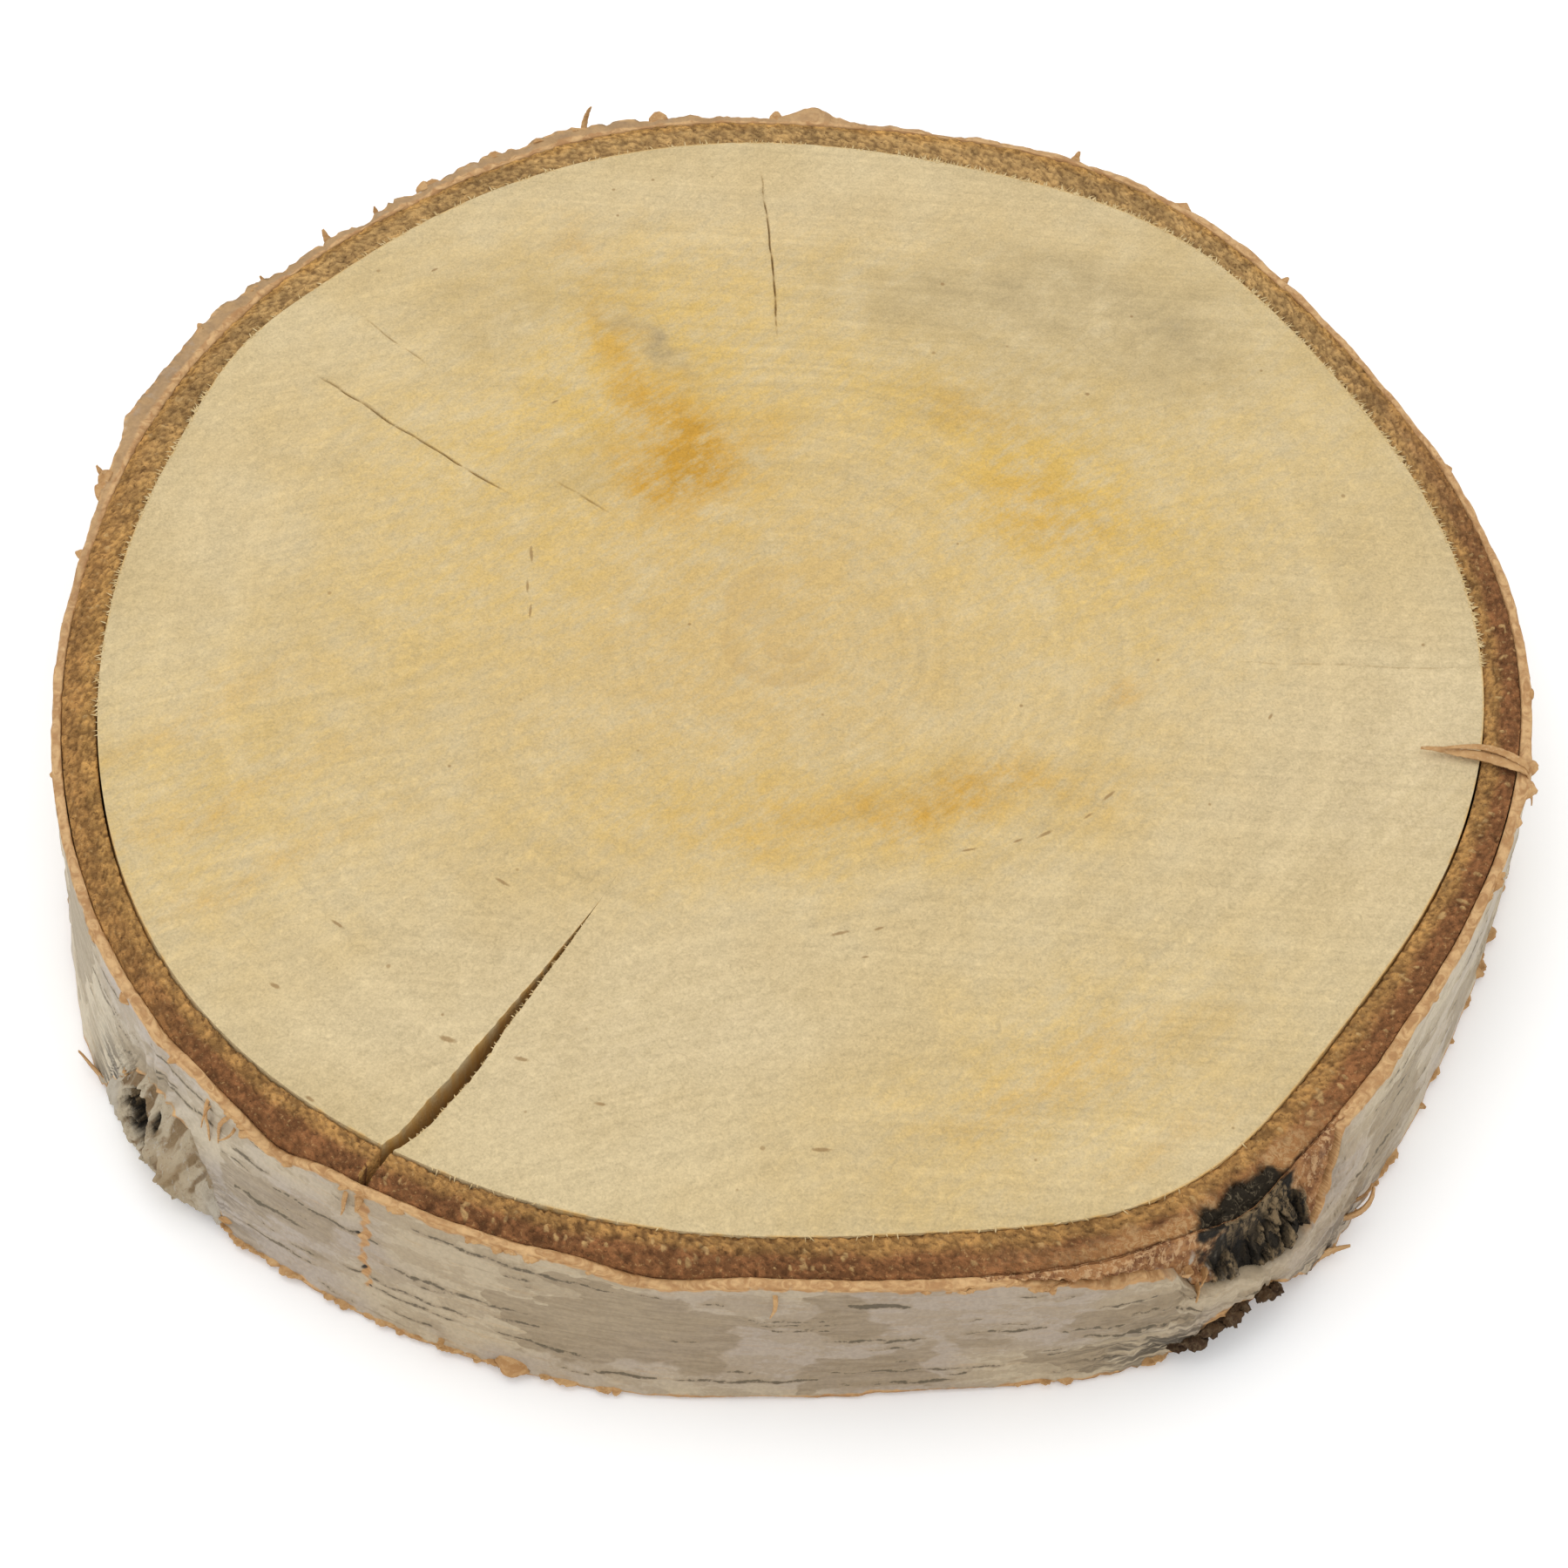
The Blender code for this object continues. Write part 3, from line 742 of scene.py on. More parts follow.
def makeWood(material):
    # two faces on shares of the radius and column angles, the wall between them, and both sides of the split
    nominal = woodNominals()
    share = np.concatenate([np.linspace(0, 0.1, 6), np.linspace(0.1, 0.52, 19)[1:],
                            np.linspace(0.52, 0.985, 46)[1:], [0.992, 0.997, 1.0]])
    heights = np.linspace(0, top, 9)
    sheets = []
    for height in (top, 0.0):
        angle, away = woodPoint(share[:, None], nominal[None], height)
        points = place(angle, away, height)
        marks = woodMarks(points, away, angle)
        if height:
            # painted shade along the checks
            depth, marks["dark"] = checkDepth(away, angle, points)
            rim = share[:, None] >= 0.997
            points[..., 2] -= np.where(rim, 0, depth)
        sheets.append((points, marks))
    angle, away = woodPoint(1.0, nominal[None], heights[:, None])
    sheets.append((place(angle, away, heights[:, None]), {"ring": wood["edgeRing"], "cut": 1.0}))
    outside = share[share * woodRadius(wood["splitStart"], 0.0) > wood["splitAway"][0] - 3]
    for side in (nominal[0], nominal[-1]):
        angle, away = woodPoint(outside[:, None], np.array(side), heights[None])
        sheets.append((place(angle, away, heights[None] + 0 * away), {"ring": away, "cut": 1.0}))
    return makePiece("sawnWood", sheets, material, node="wood", sharp=50)


woodFinish = {
    "surface": (0.78, 0.22, 0.6, 0.0006),
    # how strongly each lightens and darkens the wood
    "curls": 0.60,
    "fuzz": 0.48,
    "slant": 0.24,
    "ringBands": 0.20,
    "ringLines": 0.13,
    "sawMarks": (0.05, 0.26),    # at the pith and at the edge
    "cream": (0.640, 0.512, 0.295),
    "tan": (0.588, 0.452, 0.236),
    "yellow": (0.640, 0.428, 0.118),
    "orange": (0.530, 0.285, 0.038),
    # painted shade in the checks
    "grey": (0.415, 0.325, 0.180),
    "bare": (0.645, 0.525, 0.335),
    "warm": (0.605, 0.430, 0.186),
    "pith": (0.500, 0.325, 0.120),
    "dark": (0.260, 0.145, 0.042),
    # the split's walls: the wood's golden tone, lightened as painted light against the shade in the split
    "cut": (0.640, 0.395, 0.130),
    "fleck": (0.300, 0.180, 0.070),
    # each stain's strength
    "stains": (("bare", 0.6), ("warm", 0.9), ("yellow", 0.9), ("grey", 1.15), ("orange", 1.0)),
    # shapes round the pith: border, side where it shows, depth of its fade in mm, strength
    "pithShapes": (("upperLobe", "leftward", -14.0, 0.26), ("lowerLobe", "downward", -6.0, 0.30),
                   ("core", "downward", -7.0, 0.36)),
    # dots: cells per metre, outer and inner radius in cells, limits of chance, strength
    "dots": ((115.0, 0.055, 0.025, 0.62, 0.68, 0.7), (62.0, 0.036, 0.018, 0.5, 0.54, 0.6)),
}


def stainedWood(where, curls, slant):
    # cream and tan in broad clouds, and stains broken up by clouds, slanting streaks and curls of torn fibre
    finish = woodFinish
    colour = where.noise(30.0, 4.0, 0.6).spread(0.35, 0.7).mix(finish["cream"], finish["tan"])
    patchy = (where.noise(120.0, 5.0, 0.7) * 0.9 + slant + curls * 0.6).spread(0.86, 1.64, 0.1, 1.6)
    for key, strength in finish["stains"]:
        stain = where.mark(key) * (patchy * strength)
        colour = stain.atMost(1.0).mix(colour, finish[key])
    return colour


def woodRings(where, ring):
    # year rings: slow bands and a faint line at each ring, in patches, the lines mostly near the pith
    patch = where.noise(18.0, 2.0).spread(0.35, 0.65, 0.25, 1.0)
    nearPith = ring.spread(92.0, 40.0, 0.2, 1.0)
    bands = ((ring * 0.13).lineNoise(4.0, 0.65) - 0.5) * (patch * woodFinish["ringBands"])
    lines = ((ring * 0.52).lineNoise(2.0, 0.5) - 0.5) * (patch * nearPith)
    return bands + lines * woodFinish["ringLines"]


def sawMarks(where, ring):
    # long fine lines, level in one part of the face and slanted in another, fainter near the pith
    level = where.stretch((14, 900, 14), -5.0).noise(1.0, 2.0)
    steep = where.stretch((14, 800, 14), 14.0).noise(1.0, 2.0)
    patch = where.noise(11.0, 2.0).spread(0.42, 0.6)
    lines = (level - 0.5) * patch + (steep - 0.5) * (0.9 - patch)
    return lines * ring.spread(25.0, 85.0, *woodFinish["sawMarks"])


def pithShapes(where):
    # crescents with a crisp outer border that fade inwards
    shapes = 0.0
    for key, side, depth, strength in woodFinish["pithShapes"]:
        away = where.mark(key)
        crescent = away.spread(0.5, -0.4) * away.spread(depth, -0.4) * (where.mark(side) * strength)
        shapes = crescent.atLeast(shapes)
    return shapes


def woodFlecks(where, curls):
    # small dark dots in two sizes, and the listed dashes, on the sawn faces only
    flecks = 0.0
    for scale, near, far, low, high, strength in woodFinish["dots"]:
        dots = addNode(where.tree, "ShaderNodeTexVoronoi", {"Vector": where, "Scale": scale})
        chance = where.node("ShaderNodeSeparateColor", {0: Signal(dots, "Color")})
        dot = Signal(dots, "Distance").spread(near, far) * chance.spread(low, high)
        flecks = (dot * strength).atLeast(flecks)
    for x, y, turn, length, width in wood["flecks"]:
        links = {"Vector": where, "Place": ((pith[0] + x) * mm, (pith[1] + y) * mm, top * mm),
                 "Turn": (0, 0, radians(turn)), "Size": (length * 0.75 * mm, width * 0.85 * mm, 1.0),
                 "Ragged": curls}
        mask = where.node("ShaderNodeGroup", links, "Mask", node_tree=fleckGroup)
        flecks = (mask * 0.75).atLeast(flecks)
    return flecks * where.mark("flat")


def woodMaterial():
    # stained wood, lighter and darker by rings, saw marks and fuzz, with pith, flecks, painted shade in the
    # checks, and cut sides lightened by painted light in the split
    finish = woodFinish
    material, shader, where = startMaterial("sawnBirch", finish["surface"])
    ring = where.mark("ring")
    curls = where.noise(520.0, 5.0, 0.75, 1.6)
    fine = where.noise(2100.0, 2.0, 0.6)
    slant = where.stretch((150, 560, 150), 42.0).noise(1.0, 4.0, 0.7)
    fuzz = (curls - 0.5) * finish["curls"] + (fine - 0.5) * finish["fuzz"] + (slant - 0.5) * finish["slant"]
    light = woodRings(where, ring) + fuzz + sawMarks(where, ring) + 1.0
    upright = where.stretch((1, 1, 0.12)).noise(900.0, 3.0)
    # the split's walls, lightened by painted light against the shade in the split
    cut = where.mark("cut") * upright.spread(0.3, 0.7, 0.5, 1.0)
    colour = stainedWood(where, curls, slant).brighten(light).coats(
        (pithShapes(where), finish["pith"]), (woodFlecks(where, curls), finish["fleck"]),
        # painted shade in the checks; the split's walls are lightened by painted light
        (where.mark("dark"), finish["dark"]), (cut, finish["cut"]))
    finishMaterial(shader, colour, finish["surface"], curls + slant * 0.6 + fine * 0.5)
    return material


# inner bark

innerBark = {
    "columns": 1300,
    "topSteps": 16,
    "wallSteps": 6,
    "splitAway": (131.0, 132.0),    # where the split's middle line and width are read
    "radius": 135.0,
    "width": 7.5,
    "clumpRadius": 133.0,
    "grain": 0.34,
    "crumbs": 0.30,
    "clumpRise": 0.45,
    # where the crumbs stand up as radial teeth: middle angle, half width, height
    "teeth": ((-104, 22, 1.0), (-30, 24, 0.25), (120, 60, 0.30), (-160, 30, 0.2)),
    # stretches where a thin dark gap parts it from the wood: middle angle, half width, gap in mm
    "partings": ((-139, 36, 0.42), (-29, 20, 0.42)),
    "gapElsewhere": 0.02,
    # towards the front knot the outer half slopes down: middle angle, half width, drop in mm
    "slope": (-56.2, 3.6, 4.2),
    "flaky": ((-62, 8, 1.0), (-52, 4, 0.8)),
    "wallBlack": ((-57, 5.0, 2.2),),
    # pale radial clumps: middle angle of a stretch, half width, number
    "clumps": ((-103, 19, 62), (-24, 26, 62), (-60, 16, 26), (150, 40, 34), (60, 60, 40)),
}


def barkParting(angle):
    # the gap between wood and bark, wider along the dark stretches and eased at their ends
    gap = np.full(np.shape(angle), innerBark["gapElsewhere"])
    for middle, half, width in innerBark["partings"]:
        away = np.abs(turnFrom(angle, middle))
        gap = np.maximum(gap, width * (1 - easeStep(half - 4, half + 4, away)))
    return gap


def barkSlope(angle):
    # how far the outer half drops towards the front knot
    return swell(angle, (innerBark["slope"],))


def barkClumps(angle, share, radius):
    # pale clumps stand up as small radial lozenges
    draw = np.random.default_rng(31)
    total = np.zeros(np.broadcast(angle, share).shape)
    for middle, half, number in innerBark["clumps"]:
        for _ in range(number):
            at = middle + draw.uniform(-half, half)
            middleShare = draw.uniform(0.3, 0.85)
            length, width = draw.uniform(0.05, 0.13), draw.uniform(0.22, 0.5)
            aside = arc(turnFrom(angle, at), radius) / width
            lean = (share - middleShare) / length
            total = np.maximum(total, np.exp(-(aside**2 + lean**2) ** 1.5))
    return total


def makeInnerBark(material):
    # a roof across the ring on two walls: the upper face's height less wear and slope, plus grain, crumbs,
    # radial teeth and clumps
    nominal = np.linspace(0, 360, innerBark["columns"] + 1)
    middleAway, widthAway = innerBark["splitAway"]
    half = splitHalf(widthAway, top)
    angle = splitMiddle(middleAway) + half + nominal / 360 * (360 - 2 * half)
    low = 0.35 + 0.25 * ripple(angle, 0, 21, (15, 50), 0)
    share = np.linspace(0, 1, innerBark["topSteps"] + 1)[:, None]

    def inner(height):    # radius of the inner wall
        return woodRadius(angle, height) + barkParting(angle)

    def between(height):    # radius at each share of the way outwards
        return inner(height) * (1 - share) + barkRadius(angle, height) * share

    flat = place(angle, between(top), top)
    grain = fractal(flat, 2.6, 4, 41) * innerBark["grain"] * 1.6
    crack, chance = cellGap(flat, 1.5, 42)
    crumbs = (easeStep(0.0, 0.35, crack) - 0.6 + 0.8 * (chance - 0.5)) * innerBark["crumbs"]
    clump = barkClumps(angle[None], share, innerBark["clumpRadius"])
    turned = unrolled(angle, innerBark["radius"], share * innerBark["width"])
    teeth = fractal(turned, 1.6, 3, 43, (1, 2.6, 1), 0.6) * swell(angle, innerBark["teeth"]) * 1.3
    worn = 0.25 + 0.35 * easeStep(0.75, 1.0, share) + 0.15 * easeStep(0.12, 0.0, share)
    slope = barkSlope(angle) * easeStep(0.25, 1.0, share)
    plate, plateChance = cellGap(flat, 3.0, 44)
    black = easeStep(0.8, 1.6, slope + 1.1 * fractal(flat, 4.0, 4, 45))
    flaky = easeStep(0.42, 0.72, share + 0.5 * fractal(flat, 5.0, 4, 46)) * swell(angle, innerBark["flaky"])
    upper = top - worn + grain + crumbs + teeth * (0.4 + 0.6 * share) + innerBark["clumpRise"] * clump
    upper = upper - slope + black * (1.9 * (plateChance - 0.5) - 1.2 * easeStep(0.16, 0.02, plate))
    upper = np.minimum(upper, top + 0.25)
    roof = place(angle, between(upper), upper)
    # painted shade in the cracks between crumbs and the hollows between the teeth
    pit = np.clip(easeStep(0.25, 0.0, crack) * 0.7 + easeStep(-0.1, -0.6, teeth + grain), 0, 1)
    marks = {"across": share, "clump": clump * (1 - black), "pit": pit, "black": black,
             "flaky": np.clip(flaky, 0, 1)}
    rows = np.linspace(0, 1, innerBark["wallSteps"] + 1)[:, None]
    innerHeight, outerHeight = (low + (edge - low) * rows for edge in (upper[0], upper[-1]))
    inside = place(angle, inner(innerHeight), innerHeight)
    outside = place(angle, barkRadius(angle, outerHeight), outerHeight)
    under = bridge(inside[0], outside[0], 6)
    wallBlack = np.clip(swell(angle, innerBark["wallBlack"]), 0, 0.96)
    sheets = [(roof, marks), (inside, {"across": 0.0}), (outside, {"across": 1.0, "black": wallBlack}),
              (under, {"across": np.linspace(0, 1, 7)[:, None]})]
    caps = []
    for end in (0, -1):
        loop = [inside[:, end], roof[1:, end], outside[::-1][1:, end], under[::-1][1:-1, end]]
        caps.append(np.concatenate(loop))
    return makePiece("innerBark", sheets, material, caps=caps, node="inner_bark")


innerBarkFinish = {
    "surface": (0.88, 0.15, 1.0, 0.0011),
    "grain": 520.0,              # crumbs per metre
    "contrast": (0.60, 1.38),    # of the darkest and palest crumbs
    "ochre": (0.490, 0.262, 0.084),
    "red": (0.280, 0.118, 0.044),
    "brown": (0.590, 0.325, 0.098),
    "tan": (0.530, 0.325, 0.125),
    "pale": (0.610, 0.385, 0.160),
    # dark specks, and painted shade in the cracks and hollows
    "pit": (0.085, 0.036, 0.014),
    "flake": (0.520, 0.310, 0.140),
    "orange": (0.400, 0.195, 0.072),
    "black": (0.024, 0.018, 0.011),
    "blackDry": (0.150, 0.118, 0.074),
}


def innerBarkMaterial():
    # crumbs lighter or darker than their zone's colour, with specks, clumps, pits, and painted shade in the
    # cracks and hollows
    finish = innerBarkFinish
    material, shader, where = startMaterial("crumblyBark", finish["surface"])
    grain, tone, pits = crumbGrain(where, finish["grain"])
    zone = where.mark("across") + (where.noise(160.0, 3.0) - 0.5) * 0.5
    # the back half is tan with a dark outer line, the front half ochre inside and red-brown outside
    front = zone.spread(0.26, 0.60).mix(finish["ochre"], finish["red"])
    front = (where.axis("X").spread(-0.10, -0.125) * 0.6).mix(front, finish["brown"])
    rear = zone.spread(0.55, 0.95).mix(finish["tan"], finish["brown"])
    colour = where.axis("Y").spread(0.0, 0.09).mix(front, rear)
    colour = colour.brighten(tone.spread(0.34, 0.68, *finish["contrast"]))
    speck = where.noise(1250.0, 3.0, 0.7)
    # beside the front knot the outer half is flaky and orange, and black where the knot reaches in
    swirl = where.noise(640.0, 4.0, 0.7, 1.2)
    flaky = swirl.spread(0.44, 0.58).mix(finish["orange"], finish["flake"])
    dry = swirl.spread(0.5, 0.66).mix(finish["black"], finish["blackDry"])
    colour = colour.coats(
        (speck.spread(0.57, 0.68, 0.0, 0.5), finish["pale"]),
        (speck.spread(0.42, 0.33, 0.0, 0.60), finish["pit"]),
        (where.mark("clump").spread(0.25, 0.75, 0.0, 0.8), finish["pale"]),
        # painted shade in the cracks and hollows by the pit mark, with the grain's pits
        ((pits * 0.6).atLeast(where.mark("pit")) * 0.8, finish["pit"]),
        (where.mark("flaky"), flaky), (where.mark("black"), dry))
    finishMaterial(shader, colour, finish["surface"], grain)
    return material


# the two knots

frontKnot = {
    "from": -75.6,
    "to": -45.7,
    "columns": 340,
    "rows": 92,
    "radius": 146.0,
    "middle": -56.0,
    "reach": 9.0,
    "swell": 0.7,
    "belly": 1.1,
    "bellyHeight": 15.0,
    "bellyReach": 14.0,
    "blackMiddle": -55.8,
    "blackHalf": ((8, 18, 31), (13.0, 12.0, 9.5)),   # heights and half widths in mm
    "plate": 3.3,        # mm across
    "plateRise": 3.2,    # how much higher the highest plate stands than the lowest
    "crack": 1.9,        # depth in mm
    "shoulder": ((-57, 6, 7.2),),
    "tuck": 3.4,         # how far it goes in behind the paper
    # angle, height, reach sideways in degrees and upright in mm, strength
    "slots": ((-57.2, 23, 0.55, 7.5, 1.0), (-60.4, 17, 0.5, 4, 0.8)),
    "frayed": ((-61.3, 18, 2.4, 8, 1.0), (-47.6, 20, 1.6, 9, 0.7)),
    # its own lower border, hidden behind the paper: angles and heights
    "footAngles": (-76, -68, -62, -60, -53, -50, -46),
    "foot": (32.0, 28.0, 23.0, 11.0, 9.5, 20.0, 32.0),
}

leftKnot = {
    "from": -146.7,
    "to": -130.9,
    "columns": 210,
    "rows": 120,
    "radius": 143.0,
    "bulge": ((-138.0, 6.0, 3.4),),    # middle angle, half width, height in mm
    "bulgeHeight": 22.0,
    "raised": ((-133.6, 2.0, 2.2), (-139.4, 0.8, 0.9)),    # where the lower border is raised
    # angle, height, reach sideways in degrees and upright in mm, strength
    "swelling": ((-136.6, 9, 1.7, 6.5, 1.6),),
    "lump": ((-136.6, 9, 2.0, 8, 1.0),),
    "whitish": ((-134.6, -132.8), (-143.6, -145.0)),    # from where to where it turns whitish at its sides
    # holes: angle, height, half width and half height in mm, depth
    "holes": ((-140.8, 12.6, 5.2, 5.4, 5.6), (-143.6, 17.0, 0.9, 1.5, 1.6), (-138.6, 16.6, 1.0, 2.6, 2.2),
              (-138.5, 9.6, 1.2, 2.0, 2.4), (-136.6, 5.4, 1.7, 2.2, 2.4), (-143.0, 5.0, 1.2, 2.0, 1.5)),
}


def frontBulge(angle, height):
    # the branch stub swells the trunk: swell plus a belly low down, fading sideways
    fade = np.exp(-(((angle - frontKnot["middle"]) / frontKnot["reach"]) ** 2))
    fromBelly = (height - frontKnot["bellyHeight"]) / frontKnot["bellyReach"]
    return fade * (frontKnot["swell"] + frontKnot["belly"] * np.exp(-(fromBelly**2)))


def splinteredPlates(points):
    # plates of random height parted by cracks, with finer grains, cracks and splinters on them
    knot = frontKnot
    crack, chance = cellGap(points, knot["plate"], 86, (1, 3.2, 1))
    small, grain = cellGap(points, 1.1, 87, (1, 3.0, 1))
    splinters = 1 - 3.0 * np.abs(fractal(points, 1.5, 3, 94, (1, 6.0, 1), 0.6))
    plates = (chance - 0.45) * knot["plateRise"] + (grain - 0.5) * 1.3 + 0.3 * splinters
    gaps = knot["crack"] * easeStep(0.10, 0.02, crack) + 0.4 * easeStep(0.09, 0.0, small)
    return plates - gaps, crack, chance, grain


def makeFrontKnot(material):
    # a thick sheet on angle and height: the rim's radius, less a shoulder and the tuck behind the paper, with
    # splintered plates, cracks and two deep slots where it is black, and soft flakes elsewhere
    knot = frontKnot
    angle = np.linspace(knot["from"], knot["to"], knot["columns"] + 1)
    border = paperTop(angle)
    low = np.minimum(border, np.interp(angle, knot["footAngles"], knot["foot"])) - 0.8
    ragged = fractal(place(angle, 145.0, 0.0), 2.5, 4, 81)    # noise along the upper border
    drop = barkSlope(angle)
    high = np.maximum(top - 0.4 + 0.5 * ragged - 0.9 * drop, low + 0.9)
    height = low + (high - low) * np.linspace(0, 1, knot["rows"] + 1)[:, None]
    turn = angle + 0 * height
    flat = unrolled(turn, knot["radius"], height)
    bent = flat + 1.3 * shake(flat, 5, 5, (82, 83, 84), 0.62)
    across = arc(np.abs(turn - knot["blackMiddle"]), knot["radius"])
    half = np.interp(height, *knot["blackHalf"])
    black = easeStep(1.5, -1.5, across - half + 7.5 * fractal(flat, 6, 5, 85))
    plates, crack, chance, grain = splinteredPlates(bent)
    deep = spots(turn + 0.5 * fractal(flat, 4, 2, 88), height, knot["slots"][:1])
    deep = deep + spots(turn, height, knot["slots"][1:])
    flaky = 1.5 * fractal(bent, 2.2, 4, 89, (1, 2.0, 1), 0.65) + 0.7 * (grain - 0.5)
    shoulder = easeStep(14, 31, height) * swell(turn, knot["shoulder"])
    tuck = knot["tuck"] * easeStep(1.0, -1.6, height - border)
    base = rimRadius(turn, height) + frontBulge(turn, height) - shoulder - tuck
    edge = easeStep(0, 0.06, (turn - knot["from"]) / 30) * easeStep(0, 0.06, (knot["to"] - turn) / 30)
    rough = black * plates + (1 - black) * flaky - 3.2 * deep * black
    rough = rough * (0.3 + 0.7 * easeStep(0, 4, height - border)) - 0.8 * easeStep(3, 0, height - border)
    inner = barkRadius(turn, height) + 0.3
    radius = np.maximum(base + rough * (0.25 + 0.75 * edge), inner + 0.8)
    outside, inside = place(turn, radius, height), place(turn, inner, height)
    grids = slab(outside, inside, 14)
    roof = grids[3]
    share = np.linspace(0, 1, 15)[:, None]
    lumps = fractal(roof, 2.2, 4, 90, fall=0.6)
    roof[..., 2] += 4 * share * (1 - share) * (-0.15 + 0.9 * lumps) - 0.5 * easeStep(0.8, 1.0, share)
    pale = easeStep(0.12, 0.45, fractal(bent, 2.2, 3, 91, (0.8, 3.2, 1)))
    frayed = spots(turn, height, knot["frayed"])
    marks = {"black": np.clip(black, 0, 1), "pale": np.clip(pale * frayed * 1.7, 0, 1),
             # the tone follows the plates' height, which puts painted highlight on the higher plates
             "tone": np.clip(0.5 * chance + 0.5 * grain, 0, 1),
             # painted shade in the two slots and the cracks between the black plates
             "hole": np.clip(deep * black + 0.8 * black * easeStep(0.22, 0.02, crack), 0, 1)}
    fade = (1 - easeStep(0.8, 2.2, drop)) * easeStep(0.25, 0.75, share + 0.5 * lumps)
    edgeMarks = {"black": np.maximum(black[-1] * (1 - fade), easeStep(1.2, 2.0, drop)), "tone": chance[-1]}
    sheets = [(outside, marks), (inside, {}), (grids[2], {"black": 1.0}), (roof, edgeMarks),
              (grids[4], {}), (grids[5], {})]
    return makePiece("frontKnotBark", sheets, material, node="knot_bark_front", sharp=48)


def leftBulge(angle, height):
    # a swell sideways, times half a sine up the wall
    return swell(angle, leftKnot["bulge"]) * np.sin(np.pi * np.clip(height / leftKnot["bulgeHeight"], 0, 1))


def makeLeftKnot(material):
    # a thick sheet under the paper's arch: the rim's radius plus the bulge, twisted fibre ridges and a lump,
    # less ragged holes with a raised rim and chunks inside
    knot = leftKnot
    angle = np.linspace(knot["from"], knot["to"], knot["columns"] + 1)
    low = 0.35 + 1.2 * np.abs(fractal(rimLine(angle), 3.0, 4, 101)) + swell(angle, knot["raised"])
    high = np.maximum(leftArch(angle) + 1.2, low + 0.8)
    height = low + (high - low) * np.linspace(0, 1, knot["rows"] + 1)[:, None]
    turn = angle + 0 * height
    flat = unrolled(turn, knot["radius"], height)
    twist = 1.6 * np.sin(height / 3.5)[..., None] * (1, 0, 0)
    bent = flat + twist + 0.9 * shake(flat, 4, 3, (102, 103, 104))
    fibres = 1 - np.abs(fractal(bent, 3.4, 3, 105, (1, 3.4, 1), 0.5)) * 2.6
    crack, chance = cellGap(bent, 2.4, 106, (1, 1.7, 1))
    sunk, rim = np.zeros(turn.shape), np.zeros(turn.shape)
    for middle, level, halfWidth, halfHeight, depth in knot["holes"]:
        aside = arc(turn - middle, knot["radius"]) / halfWidth
        gone = np.hypot(aside, (height - level) / halfHeight) + 0.55 * fractal(flat, 3, 3, 107)
        sunk = np.maximum(sunk, depth * easeStep(1.05, 0.55, gone))
        rim = rim + min(depth, 3) * 0.35 * np.exp(-(((gone - 1.15) / 0.22) ** 2))
    chunks = easeStep(0.6, 2.5, sunk) * (chance - 0.3) * 3.2 * easeStep(0.03, 0.2, crack)
    tuck = 1.2 * easeStep(1.6, 0.2, high - height)
    base = rimRadius(turn, height) + leftBulge(turn, height) - tuck + spots(turn, height, knot["swelling"])
    edge = np.clip(np.minimum(angle - knot["from"], knot["to"] - angle), 0.1, 1)
    rough = 0.8 * (fibres - 0.5) + rim - sunk + chunks
    inner = barkRadius(turn, height) + 0.3
    radius = np.maximum(base + rough * edge, inner + 0.7)
    outside, inside = place(turn, radius, height), place(turn, inner, height)
    grids = slab(outside, inside, 3)
    hole = easeStep(0.5, 1.7, sunk)
    lump = spots(turn, height, knot["lump"])
    whitish = sum(easeStep(start, full, turn) for start, full in knot["whitish"])
    marks = {"black": np.clip(hole * 0.98, 0, 1), "fibre": np.clip(fibres, 0, 1), "tone": chance,
             "pale": np.clip(0.85 * whitish, 0, 1),
             "lump": np.clip(lump + 0.25 * fractal(flat, 4, 3, 108), 0, 1),
             # painted shade in the cracks inside the holes
             "hole": np.clip(hole * easeStep(0.25, 0.0, crack), 0, 1)}
    sheets = [(outside, marks)] + [(grid, {"tone": 0.4, "fibre": 0.3, "lump": 0.5}) for grid in grids[1:]]
    return makePiece("leftKnotBark", sheets, material, node="knot_bark_left")


knotFinish = {
    "surface": (0.85, 0.18, 0.8, 0.0008),
    "grain": 430.0,
    "orange": (0.400, 0.200, 0.080),
    "red": (0.210, 0.090, 0.038),
    "flake": (0.560, 0.350, 0.180),
    "black": (0.022, 0.017, 0.011),
    # the dry black bark's paler tone, and on the knots a painted highlight on the higher plates
    "blackDry": (0.215, 0.150, 0.080),
    # painted shade in the slots, cracks and holes
    "deep": (0.006, 0.005, 0.004),
    "pale": (0.470, 0.420, 0.340),
    "fibreGrey": (0.480, 0.405, 0.290),
    "fibreBrown": (0.215, 0.145, 0.078),
    "lump": (0.330, 0.235, 0.128),
}


